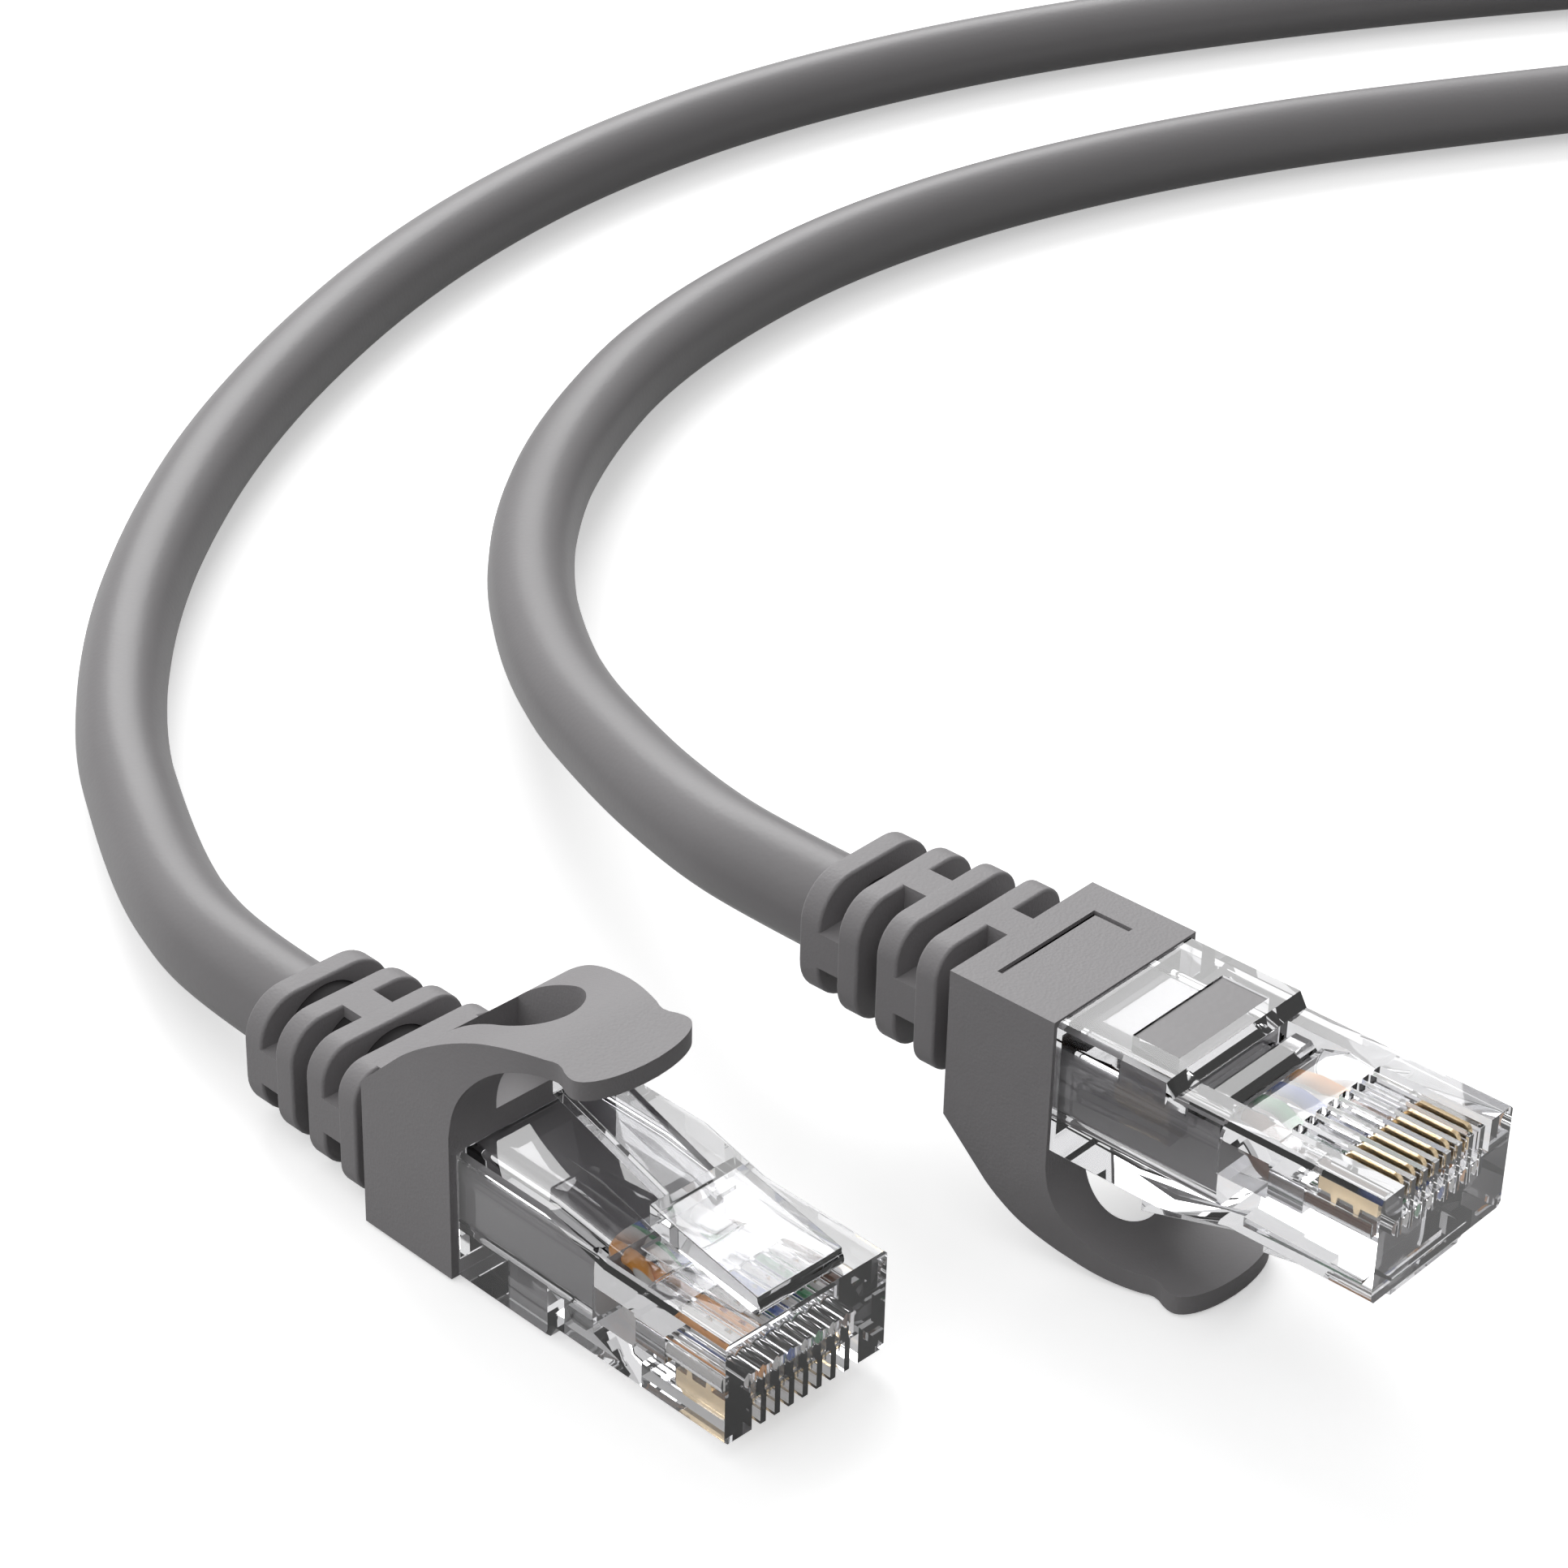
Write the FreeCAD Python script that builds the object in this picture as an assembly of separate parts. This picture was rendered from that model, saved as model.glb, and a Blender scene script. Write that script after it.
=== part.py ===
import FreeCAD, Part
import math
import os

# Network patch cable: a round cord with an eight-way modular plug, a moulded boot and a snag guard
# hook at each end. Sizes are in millimetres.
#
# Each plug is drawn in its own frame: x = 0 at the nose and x falls towards the cord, y runs across,
# and e is the height above the flat contact side of the boot. Plug A then lies contact side down,
# plug B contact side up with its hook's pad on the same surface, z = 0.

V = FreeCAD.Vector
os.makedirs("parts", exist_ok=True)

# Cord
CORD_OD = 5.9
CORD_E = 4.7            # height of the cord's axis in the boot
BORE_FIT = 0.05         # clearance of the boot's bore on the cord

# Housing
PLUG_W = 11.68
NOSE_H = 6.5
NOSE_STEP = 0.85        # the rear block stands this much proud of the nose on the contact side
BLOCK_PROUD = 0.15      # the boot stands this much proud of the rear block on the contact side
BLOCK_H = 8.45
BLOCK_FRONT = 13.5      # from the nose's face to the rear block
BLOCK_CHAMFER = 0.5     # length of the block's slope on the contact side
BLOCK_RAMP = 4.5        # length of the block's slope on the latch side
HOUSING_L = 20.9        # from the nose's face to the boot
HOUSING_EDGE = 0.25
NECK_L = 1.8            # the housing's tail inside the boot
NECK_INSET = 1.0
NECK_FIT = 0.1

# Wires
WIRES = ("white_orange", "orange", "white_green", "blue", "white_blue", "green", "white_brown", "brown")
PITCH = 1.02
WIRE_OD = 0.92
WIRE_E = 3.9
CHANNEL_FIT = 0.07
WIRE_END = 1.05         # from the nose's face to the wires' ends
CHANNEL_END = 1.0
FAN_PITCH = 0.8         # spacing of the wires where they leave the jacket
FAN_STAGGER = 0.48
FAN_STRAIGHT = 0.3

# Contact blades
BLADE_T = 0.32
BLADE_FRONT = 0.85
BLADE_L = 3.65
BLADE_CROWN = 0.5       # depth of the crown below the nose's contact side
BLADE_CORNER = 0.5
BLADE_TOP_E = 2.95
TINE_TIP_E = 4.4
TINE_W = 0.45
TINES = (1.25, 2.65)    # from the blade's front to each tine
SLOT_FIT = 0.03
TINE_FIT = 0.02
COMB_W = 0.62
COMB_L = 7.0
COMB_DEPTH = 0.9
COMB_FACE_L = 0.6
COMB_FACE_DEPTH = 2.0

# Load bar
BAR_FRONT = 5.2
BAR_L = 2.2
BAR_SIDE = 0.17         # wall of the bar outside its last wires
BAR_H = 1.6
BAR_FIT = 0.1
BAR_HOLE_FIT = 0.03

# Jacket end
JACKET_FRONT = 10.6
JACKET_FLAT_W = 8.2
JACKET_FLAT_H = 4.9
JACKET_FLAT_R = 1.3
JACKET_FLAT_E = 4.8
JACKET_FLAT_REAR = 23.4
JACKET_ROUND_FRONT = 26.5
JACKET_ROUND_SHARE = 0.97  # its round section's corner radius, as a share of half its width
JACKET_FIT = 0.1

# Jacket clamp
CLAMP_STEP = 0.1        # from the foot of the block's slope to the clamp
CLAMP_L = 2.1
CLAMP_W = 7.6
CLAMP_SLOPE = 0.55
CLAMP_SUNK = 0.45       # its outer face lies this deep below the nose's contact side
CLAMP_FIT = 0.08
RECESS_L = 2.4          # from the clamp to the end of its recess's slope
RECESS_DEPTH = 0.7

# Window in the rear block, over the jacket
WINDOW_STEP = 0.8       # from the block's front to the window
WINDOW_L = 3.1
WINDOW_W = 7.8
PAD_FIT = 0.05
PAD_SUNK = 0.1          # the filling's pad lies this deep in the window

# Latch
LATCH_AXIS_X = -0.9
LATCH_ROOT_R = 0.5
LATCH_ROOT_GAP = 0.05
LATCH_FRONT = 0.6
LATCH_W = 6.1
LATCH_TOP = 1.25        # height of the block's front above the nose
LATCH_RISE = 1.5        # further rise of its top to the catch
LATCH_L = 8.0
LATCH_CATCH_T = 1.45
LEVER_W = 3.25
LEVER_T = 1.15
LEVER_L = 9.0
LEVER_RISE = 2.75
LATCH_SWING = 9.0       # degrees
LATCH_SIDE_GAP = 0.3
TROUGH_FRONT = 1.4
TROUGH_DEPTH_FRONT = 0.1
TROUGH_GAP = 0.38       # under the latch when it is pressed all the way
LEVER_TROUGH_X = 10.5   # from the nose's face to where the lever's trough follows the pressed lever

# Boot
BOOT_L = 7.2
BOOT_W = 12.2
BOOT_H = 9.5
BOOT_CORNER = 0.3
RIB_COUNT = 4
RIB_T = 1.5
RIB_GAP = 1.5
RIB_W = (10.8, 9.5)     # at the boot's body, and at the cord
RIB_H = (8.2, 7.9)
RIB_CORNER = (1.8, 2.7)
RIB_DROP = 0.45         # the ribs' middle lies this much nearer the contact side than the cord's axis
SIDE_BRIDGE = 2.3
TOP_BRIDGE = 2.2
ROOF_T = 1.5            # the web that joins the first rib to the body on the latch side
GROOVE_W = 0.35
GROOVE_DEPTH = 0.25
GROOVE_BACK = 5.15      # from the boot's front to the groove's long leg
GROOVE_L = 8.3
GROOVE_LEG = 2.5
GROOVE_SHIFT = 0.25

# Hook
HOOK_TOP = 6.7          # height of its pad above the boot
HOOK_T = 1.2
HOOK_SLOPE = 45.0       # degrees, its back behind the curved part
HOOK_BACK_R = 14.0
HOOK_ARCH_R = 5.2
HOOK_PAD_START = 5.4    # from the boot's front to the flat pad
HOOK_PAD_L = 3.8
HOOK_GAP = 0.25
HOOK_AXIS_BACK = 2.3
HOOK_AXIS_UP = 0.6
KNUCKLE_R = 1.7
CRADLE_FIT = 0.25
HOOK_SWING = 24.0       # degrees
HOOK_WAIST_W = 8.0
HOOK_PAD_W = 8.8
HOOK_SHOULDER = 0.56   # share of its narrowing still to come, halfway to the waist
HOOK_TIP_ROUND = 0.8    # share of the pad's flare kept halfway round its corner
HOOK_TIP_PROUD = 0.8    # the round tip stands this much ahead of the pad's corners
HOOK_WAIST_X = 6.0      # from the boot's front to the waist
HOOK_SLOT_W = 5.4
HOOK_SLOT_REAR = 0.9    # behind the boot's front
HOOK_SLOT_FRONT = 4.1   # ahead of the boot's front

# Where the plugs lie
PLUG_B_NOSE_X = 40.85
PLUG_B_NOSE_Y = 25.0
PLUG_B_YAW = 3.03       # degrees

# Route of the cord, chosen by hand: from boot A to the coil, and from boot B to the coil
EXIT_RUN = 7.0
ROUTE_A = (
    (-34.0, 1.6, 4.3), (-43.0, 5.8, 3.4), (-56.2, 13.2, 2.95), (-71.7, 27.4, 2.95),
    (-87.2, 48.7, 2.95), (-100.4, 77.9, 2.95), (-105.2, 108.5, 2.95), (-100.7, 139.7, 2.95),
    (-89.0, 170.0, 2.95), (-73.5, 199.5, 2.95), (-53.5, 230.5, 3.3),
)
ROUTE_B = (
    (-12.6, 23.5, 10.9), (-21.9, 26.6, 9.6), (-35.6, 32.6, 7.6), (-51.5, 44.3, 5.4),
    (-65.5, 60.6, 3.5), (-75.5, 81.4, 2.95), (-78.7, 108.7, 2.95), (-72.2, 139.6, 2.95),
    (-58.0, 170.0, 2.95), (-38.8, 204.2, 3.4),
)
BEND_SHARE = 0.45       # of the shorter run, taken by the bend at each point

# Coil: two layers that spiral in and out again
COIL_X = 12.0
COIL_Y = 246.0
COIL_TURNS = 4.6
COIL_START = 132.0      # degrees
COIL_INNER_R = 22.3
COIL_GAP = 0.55         # between turns and between layers
COIL_TAIL = 6.0
COIL_LEAD_A = 24.0
COIL_LEAD_B = 14.0
CLIMB_TURN = 0.5
TIE_ANGLES = (170.0, 350.0)
TIE_T = 0.8
TIE_W = 3.0
TIE_FIT = 0.2

# Worked out from the sizes above
CORD_R = CORD_OD / 2
BLOCK_E0 = BLOCK_PROUD
BLOCK_E1 = BLOCK_E0 + BLOCK_H
NOSE_E0 = BLOCK_E0 + NOSE_STEP
NOSE_E1 = NOSE_E0 + NOSE_H
NECK_X = -HOUSING_L - NECK_L
BOOT_REAR_X = -HOUSING_L - BOOT_L
RELIEF_L = RIB_COUNT * (RIB_T + RIB_GAP)
PLUG_L = HOUSING_L + BOOT_L + RELIEF_L
CORD_EXIT_X = -PLUG_L
NOSE_X = PLUG_L / 2
LATCH_AXIS_E = NOSE_E1 + LATCH_ROOT_GAP + LATCH_ROOT_R
HOOK_AXIS_X = -HOUSING_L - HOOK_AXIS_BACK
HOOK_AXIS_E = BOOT_H + HOOK_AXIS_UP
HOOK_TOP_E = BOOT_H + HOOK_TOP
COIL_PITCH = CORD_OD + COIL_GAP
COIL_Z = CORD_R + TIE_FIT + TIE_T
BAR_W = (len(WIRES) - 1) * PITCH + WIRE_OD + 2 * BAR_SIDE
CLAMP_REAR = BLOCK_FRONT - BLOCK_CHAMFER - CLAMP_STEP
CLAMP_FRONT = CLAMP_REAR - CLAMP_L
RECESS_FRONT = CLAMP_FRONT - RECESS_L
WINDOW_REAR = BLOCK_FRONT + WINDOW_STEP + WINDOW_L
CATCH_X = -LATCH_FRONT - LATCH_L
CATCH_E = NOSE_E1 + LATCH_TOP + LATCH_RISE
BEYOND = 30.0           # reach of a cut that runs clear through


def box(x0, x1, y0, y1, e0, e1):
    """A block between opposite corners."""
    return Part.makeBox(x1 - x0, y1 - y0, e1 - e0, V(x0, y0, e0))


def slab(x0, x1, width, e0, e1):
    """A block centred across the plug."""
    return box(x0, x1, -width / 2, width / 2, e0, e1)


def side_prism(points, width):
    """A closed outline in side view, x and e, drawn out across the plug."""
    corners = [V(x, -width / 2, e) for x, e in points]
    face = Part.Face(Part.makePolygon(corners + corners[:1]))
    return face.extrude(V(0, width, 0))


def side_cylinder(x, e, radius, width):
    """A cylinder that lies across the plug."""
    return Part.makeCylinder(radius, width, V(x, -width / 2, e), V(0, 1, 0))


def rounded_section(x, width, height, corner, centre_e, centre_y=0.0):
    """Wire of a rectangle with round corners, square to the plug's length."""
    half_w = width / 2 - corner
    half_h = height / 2 - corner
    edges = []
    for quarter in range(4):
        turn = quarter * 90.0
        side_y = half_w if quarter in (0, 3) else -half_w
        side_e = half_h if quarter in (0, 1) else -half_h
        centre = V(x, centre_y + side_y, centre_e + side_e)
        spots = []
        for share in (0.0, 45.0, 90.0):
            angle = math.radians(turn + share)
            spots.append(centre + V(0, math.cos(angle), math.sin(angle)) * corner)
        if edges:
            edges.append(Part.LineSegment(last, spots[0]).toShape())
        else:
            first = spots[0]
        edges.append(Part.Arc(*spots).toShape())
        last = spots[2]
    edges.append(Part.LineSegment(last, first).toShape())
    return Part.Wire(edges)


def rounded_prism(x0, x1, width, height, corner, centre_e, centre_y=0.0):
    """A bar along the plug with round long edges."""
    face = Part.Face(rounded_section(x0, width, height, corner, centre_e, centre_y))
    return face.extrude(V(x1 - x0, 0, 0))


def jacket_form(grow, rear_x, front_x):
    """The jacket inside the plug: round, then pressed square towards the wires."""
    round_w = 2 * (CORD_R + grow)
    flat = (JACKET_FLAT_W + 2 * grow, JACKET_FLAT_H + 2 * grow, JACKET_FLAT_R + grow, JACKET_FLAT_E)
    round_section = rounded_section(-JACKET_ROUND_FRONT, round_w, round_w, round_w / 2 * JACKET_ROUND_SHARE, CORD_E)
    squash = Part.makeLoft([round_section, rounded_section(-JACKET_FLAT_REAR, *flat)], True, True)
    front = rounded_prism(-JACKET_FLAT_REAR, front_x, *flat)
    rear_start = V(rear_x, 0, CORD_E)
    rear = Part.makeCylinder(round_w / 2, -JACKET_ROUND_FRONT - rear_x, rear_start, V(1, 0, 0))
    return rear.fuse([squash, front]).removeSplitter()


def wire_y(index):
    """Place across the plug of one of the eight wires."""
    return (index - (len(WIRES) - 1) / 2) * PITCH


def housing():
    """Clear body with its comb, wire channels, jacket cavity, troughs, window and tail."""
    outline = [
        (0, NOSE_E0), (0, NOSE_E1),
        (-BLOCK_FRONT + BLOCK_RAMP, NOSE_E1), (-BLOCK_FRONT, BLOCK_E1),
        (-HOUSING_L, BLOCK_E1), (-HOUSING_L, BLOCK_E0),
        (-BLOCK_FRONT, BLOCK_E0), (-BLOCK_FRONT + BLOCK_CHAMFER, NOSE_E0),
    ]
    body = side_prism(outline, PLUG_W)
    long_edges = [
        edge for edge in body.Edges
        if abs(abs(edge.CenterOfMass.y) - PLUG_W / 2) < HOUSING_EDGE / 2 and edge.BoundBox.XLength > HOUSING_EDGE
    ]
    body = body.makeChamfer(HOUSING_EDGE, long_edges)
    neck_w = PLUG_W - 2 * NECK_INSET
    neck = slab(NECK_X, -HOUSING_L, neck_w, BLOCK_E0 + NECK_INSET, BLOCK_E1 - NECK_INSET)
    body = body.fuse(neck)
    cuts = [jacket_cavity(), fan_cavity(), bar_pocket()]
    cuts += [wire_channel(i) for i in range(len(WIRES))]
    cuts += [comb_groove(i) for i in range(len(WIRES))]
    cuts += [clamp_recess(), window(), latch_trough(), lever_trough()]
    return body.cut(cuts).removeSplitter()


def jacket_cavity():
    """Room for the squashed jacket."""
    width = JACKET_FLAT_W + 2 * JACKET_FIT
    height = JACKET_FLAT_H + 2 * JACKET_FIT
    return rounded_prism(NECK_X - BORE_FIT, -JACKET_FRONT + JACKET_FIT, width, height,
                         JACKET_FLAT_R + JACKET_FIT, JACKET_FLAT_E)


def fan_cavity():
    """Room where the wires spread from the jacket to the load bar."""
    width = BAR_W + 2 * BAR_FIT
    half_h = FAN_STAGGER + WIRE_OD / 2 + CHANNEL_FIT + BAR_FIT
    return slab(-JACKET_FRONT, -BAR_FRONT - BAR_L, width, WIRE_E - half_h, WIRE_E + half_h)


def bar_pocket():
    """Seat of the load bar."""
    width = BAR_W + 2 * BAR_FIT
    height = BAR_H + 2 * BAR_FIT
    rear = -BAR_FRONT - BAR_L - BAR_FIT
    return slab(rear, -BAR_FRONT + BAR_FIT, width, WIRE_E - height / 2, WIRE_E + height / 2)


def wire_channel(index):
    """Round channel that holds one wire's end over its contact."""
    start = V(-BAR_FRONT - BAR_FIT, wire_y(index), WIRE_E)
    length = BAR_FRONT + BAR_FIT - CHANNEL_END
    return Part.makeCylinder(WIRE_OD / 2 + CHANNEL_FIT, length, start, V(1, 0, 0))


def comb_groove(index):
    """Groove that a jack's spring wire enters, with the blade's slot at its floor."""
    y = wire_y(index)
    half_comb = COMB_W / 2
    half_slot = BLADE_T / 2 + SLOT_FIT
    blade_rear = -BLADE_FRONT - BLADE_L - SLOT_FIT
    groove = box(-COMB_L, BEYOND, y - half_comb, y + half_comb, NOSE_E0 - BEYOND, NOSE_E0 + COMB_DEPTH)
    face = box(-COMB_FACE_L, BEYOND, y - half_comb, y + half_comb, NOSE_E0, NOSE_E0 + COMB_FACE_DEPTH)
    slot = box(blade_rear, -COMB_FACE_L, y - half_slot, y + half_slot, NOSE_E0, TINE_TIP_E + TINE_FIT)
    return groove.fuse([face, slot])


def clamp_recess():
    """Opening on the contact side through which the clamp bar presses on the jacket."""
    rear = -CLAMP_REAR - CLAMP_FIT
    front = -CLAMP_FRONT + CLAMP_FIT
    width = CLAMP_W + 2 * CLAMP_FIT
    throat = slab(rear, front, width, NOSE_E0 - BEYOND, JACKET_FLAT_E)
    slope = side_prism(
        [(front, NOSE_E0 + RECESS_DEPTH), (-RECESS_FRONT, NOSE_E0 - CLAMP_FIT),
         (rear, NOSE_E0 - CLAMP_FIT), (rear, NOSE_E0 + RECESS_DEPTH)], width)
    return throat.fuse(slope)


def window():
    """Opening in the rear block that the grey filling's pad shows in."""
    return slab(-WINDOW_REAR, -WINDOW_REAR + WINDOW_L, WINDOW_W, BLOCK_E0 - BEYOND, JACKET_FLAT_E)


def pressed(x, e):
    """Where a spot of the latch goes when it is pressed all the way."""
    swing = math.radians(LATCH_SWING)
    along = x - LATCH_AXIS_X
    up = e - LATCH_AXIS_E
    new_x = LATCH_AXIS_X + along * math.cos(swing) - up * math.sin(swing)
    new_e = LATCH_AXIS_E + along * math.sin(swing) + up * math.cos(swing)
    return new_x, new_e


def trough_floor():
    """Height of the troughs' floor under the pressed catch."""
    return pressed(CATCH_X, CATCH_E - LATCH_CATCH_T)[1] - TROUGH_GAP


def latch_trough():
    """Room in the nose for the latch's block when it is pressed."""
    rear = CATCH_X - LATCH_SIDE_GAP
    width = LATCH_W + 2 * LATCH_SIDE_GAP
    outline = [
        (-TROUGH_FRONT, NOSE_E1 + BEYOND), (-TROUGH_FRONT, NOSE_E1 - TROUGH_DEPTH_FRONT),
        (rear, trough_floor()), (rear, NOSE_E1 + BEYOND),
    ]
    return side_prism(outline, width)


def lever_trough():
    """Room in the rear block for the latch's lever when it is pressed."""
    front = CATCH_X - LATCH_SIDE_GAP
    root_x, root_e = pressed(CATCH_X, CATCH_E - LEVER_T)
    tip_x, tip_e = pressed(CATCH_X - LEVER_L, CATCH_E + LEVER_RISE - LEVER_T)
    slope = (tip_e - root_e) / (root_x - tip_x)
    knee_e = root_e + (root_x + LEVER_TROUGH_X) * slope - TROUGH_GAP
    rear = -LEVER_TROUGH_X - (BLOCK_E1 - knee_e) / slope
    outline = [
        (front, BLOCK_E1 + BEYOND), (front, trough_floor()), (-LEVER_TROUGH_X, knee_e),
        (rear, BLOCK_E1), (rear, BLOCK_E1 + BEYOND),
    ]
    return side_prism(outline, LEVER_W + 2 * LATCH_SIDE_GAP)


def latch():
    """Block with its two catch shoulders, its thin lever and its root."""
    under_front = LATCH_AXIS_E - LATCH_ROOT_R
    block = side_prism(
        [(LATCH_AXIS_X, under_front), (-LATCH_FRONT, LATCH_AXIS_E), (-LATCH_FRONT, NOSE_E1 + LATCH_TOP),
         (CATCH_X, CATCH_E), (CATCH_X, CATCH_E - LATCH_CATCH_T)], LATCH_W)
    tip_x = CATCH_X - LEVER_L
    tip_top = CATCH_E + LEVER_RISE
    buried = LEVER_T / 2
    slope = LEVER_RISE / LEVER_L
    lever = side_prism(
        [(CATCH_X + buried, CATCH_E - buried * slope), (tip_x, tip_top),
         (tip_x, tip_top - LEVER_T), (CATCH_X, CATCH_E - LEVER_T),
         (CATCH_X + buried, CATCH_E - LEVER_T)], LEVER_W)
    root = side_cylinder(LATCH_AXIS_X, LATCH_AXIS_E, LATCH_ROOT_R, LATCH_W)
    return block.fuse([lever, root]).removeSplitter()


def blade(index):
    """One contact: a crowned edge for the jack's spring and two tines through the wire."""
    crown_e = NOSE_E0 + BLADE_CROWN
    front = -BLADE_FRONT
    rear = -BLADE_FRONT - BLADE_L
    y = wire_y(index) - BLADE_T / 2
    spots = [V(front, y, BLADE_TOP_E)]
    for start in TINES:
        root = front - start + TINE_W / 2
        spots += [V(root, y, BLADE_TOP_E), V(root - TINE_W / 2, y, TINE_TIP_E), V(root - TINE_W, y, BLADE_TOP_E)]
    spots += [V(rear, y, BLADE_TOP_E), V(rear, y, crown_e + BLADE_CORNER)]
    rear_floor = V(rear + BLADE_CORNER, y, crown_e)
    front_floor = V(front - BLADE_CORNER, y, crown_e)
    front_wall = V(front, y, crown_e + BLADE_CORNER)
    cut_back = BLADE_CORNER * (1 - math.sin(math.radians(45)))
    middle = V(front - cut_back, y, crown_e + cut_back)
    lines = [Part.LineSegment(a, b).toShape() for a, b in zip(spots, spots[1:])]
    lines.append(Part.LineSegment(spots[-1], rear_floor).toShape())
    lines.append(Part.LineSegment(rear_floor, front_floor).toShape())
    lines.append(Part.Arc(front_floor, middle, front_wall).toShape())
    lines.append(Part.LineSegment(front_wall, spots[0]).toShape())
    return Part.Face(Part.Wire(lines)).extrude(V(0, BLADE_T, 0))


def contacts():
    """The eight contact blades."""
    return Part.makeCompound([blade(i) for i in range(len(WIRES))])


def load_bar():
    """Comb that carries the wires in line."""
    bar = slab(-BAR_FRONT - BAR_L, -BAR_FRONT, BAR_W, WIRE_E - BAR_H / 2, WIRE_E + BAR_H / 2)
    holes = []
    for i in range(len(WIRES)):
        start = V(-BAR_FRONT - BAR_L - BAR_FIT, wire_y(i), WIRE_E)
        holes.append(Part.makeCylinder(WIRE_OD / 2 + BAR_HOLE_FIT, BAR_L + 2 * BAR_FIT, start, V(1, 0, 0)))
    return bar.cut(holes)


def jacket_clamp():
    """Bar pressed onto the jacket, with sloped flanks towards the opening."""
    outer_e = NOSE_E0 + CLAMP_SUNK
    seat_e = JACKET_FLAT_E - JACKET_FLAT_H / 2
    outline = [
        (-CLAMP_REAR + CLAMP_SLOPE, outer_e), (-CLAMP_FRONT - CLAMP_SLOPE, outer_e),
        (-CLAMP_FRONT, outer_e + CLAMP_SLOPE), (-CLAMP_FRONT, seat_e),
        (-CLAMP_REAR, seat_e), (-CLAMP_REAR, outer_e + CLAMP_SLOPE),
    ]
    return side_prism(outline, CLAMP_W)


def conductor(index):
    """One insulated wire: out of the jacket, an S bend, then straight over its contact."""
    side = -1 if index % 2 else 1
    start = V(-JACKET_FRONT, (index - (len(WIRES) - 1) / 2) * FAN_PITCH, WIRE_E + side * FAN_STAGGER)
    bend_start = start + V(FAN_STRAIGHT, 0, 0)
    bend_end = V(-BAR_FRONT - BAR_L, wire_y(index), WIRE_E)
    end = V(-WIRE_END, wire_y(index), WIRE_E)
    across = V(0, bend_end.y - bend_start.y, bend_end.z - bend_start.z)
    span = bend_end.x - bend_start.x
    shift = across.Length
    radius = (span ** 2 + shift ** 2) / (4 * shift)
    half_turn = math.asin(span / (2 * radius)) / 2
    outward = across.normalize()
    middle = (bend_start + bend_end) * 0.5
    reach = V(radius * math.sin(half_turn), 0, 0)
    rise = outward * (radius * (1 - math.cos(half_turn)))
    first = Part.Arc(bend_start, bend_start + reach + rise, middle).toShape()
    second = Part.Arc(middle, bend_end - reach - rise, bend_end).toShape()
    path = Part.Wire([
        Part.LineSegment(start, bend_start).toShape(), first, second,
        Part.LineSegment(bend_end, end).toShape(),
    ])
    ring = Part.Wire(Part.Circle(start, V(1, 0, 0), WIRE_OD / 2).toShape())
    wire = path.makePipeShell([ring], True, False)
    half_slit = BLADE_T / 2 + TINE_FIT
    slits = []
    for tine in TINES:
        centre = -BLADE_FRONT - tine
        reach_x = TINE_W / 2 + TINE_FIT
        slits.append(box(centre - reach_x, centre + reach_x, end.y - half_slit, end.y + half_slit,
                         WIRE_E - WIRE_OD, TINE_TIP_E + TINE_FIT))
    return wire.cut(slits)


def jacket_end():
    """The cord's jacket from the boot's rear face to the fan of wires, with the filling's pad in the window."""
    jacket = jacket_form(0.0, CORD_EXIT_X, -JACKET_FRONT)
    pad = slab(-WINDOW_REAR + PAD_FIT, -WINDOW_REAR + WINDOW_L - PAD_FIT, WINDOW_W - 2 * PAD_FIT,
               BLOCK_E0 + PAD_SUNK, JACKET_FLAT_E)
    return jacket.fuse(pad).removeSplitter()


def rib_size(index, pair):
    """A rib's size, from the body's end of the relief to the cord's end."""
    share = index / (RIB_COUNT - 1)
    return pair[0] + (pair[1] - pair[0]) * share


def rib_front(index):
    """Front face of a rib; rib 0 is the one beside the body."""
    return BOOT_REAR_X - RIB_GAP - index * (RIB_T + RIB_GAP)


def strain_relief():
    """Ribs round the cord, joined in turn by bridges at the sides and at the top and bottom."""
    middle_e = CORD_E - RIB_DROP
    solids = []
    for index in range(RIB_COUNT):
        front = rib_front(index)
        width = rib_size(index, RIB_W)
        height = rib_size(index, RIB_H)
        corner = rib_size(index, RIB_CORNER)
        solids.append(rounded_prism(front - RIB_T, front, width, height, corner, middle_e))
        rear = front - RIB_T / 2
        ahead = front + RIB_GAP + RIB_T / 2
        if index % 2:
            solids.append(slab(rear, ahead, width, middle_e - SIDE_BRIDGE / 2, middle_e + SIDE_BRIDGE / 2))
        else:
            solids.append(slab(rear, ahead, TOP_BRIDGE, middle_e - height / 2, middle_e + height / 2))
    roof_e = middle_e + RIB_H[0] / 2
    solids.append(slab(rib_front(0) - RIB_T / 2, BOOT_REAR_X + RIB_T, RIB_W[0] - 2 * RIB_CORNER[0],
                       roof_e - ROOF_T, roof_e))
    return solids


def contact_side_groove():
    """L shaped groove in the boot's contact side."""
    back = -HOUSING_L - GROOVE_BACK
    y0 = GROOVE_SHIFT - GROOVE_L / 2
    y1 = GROOVE_SHIFT + GROOVE_L / 2
    long_leg = box(back - GROOVE_W / 2, back + GROOVE_W / 2, y0, y1, -BEYOND, GROOVE_DEPTH)
    short_leg = box(back - GROOVE_W / 2, back + GROOVE_LEG, y0, y0 + GROOVE_W, -BEYOND, GROOVE_DEPTH)
    return long_leg.fuse(short_leg)


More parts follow.
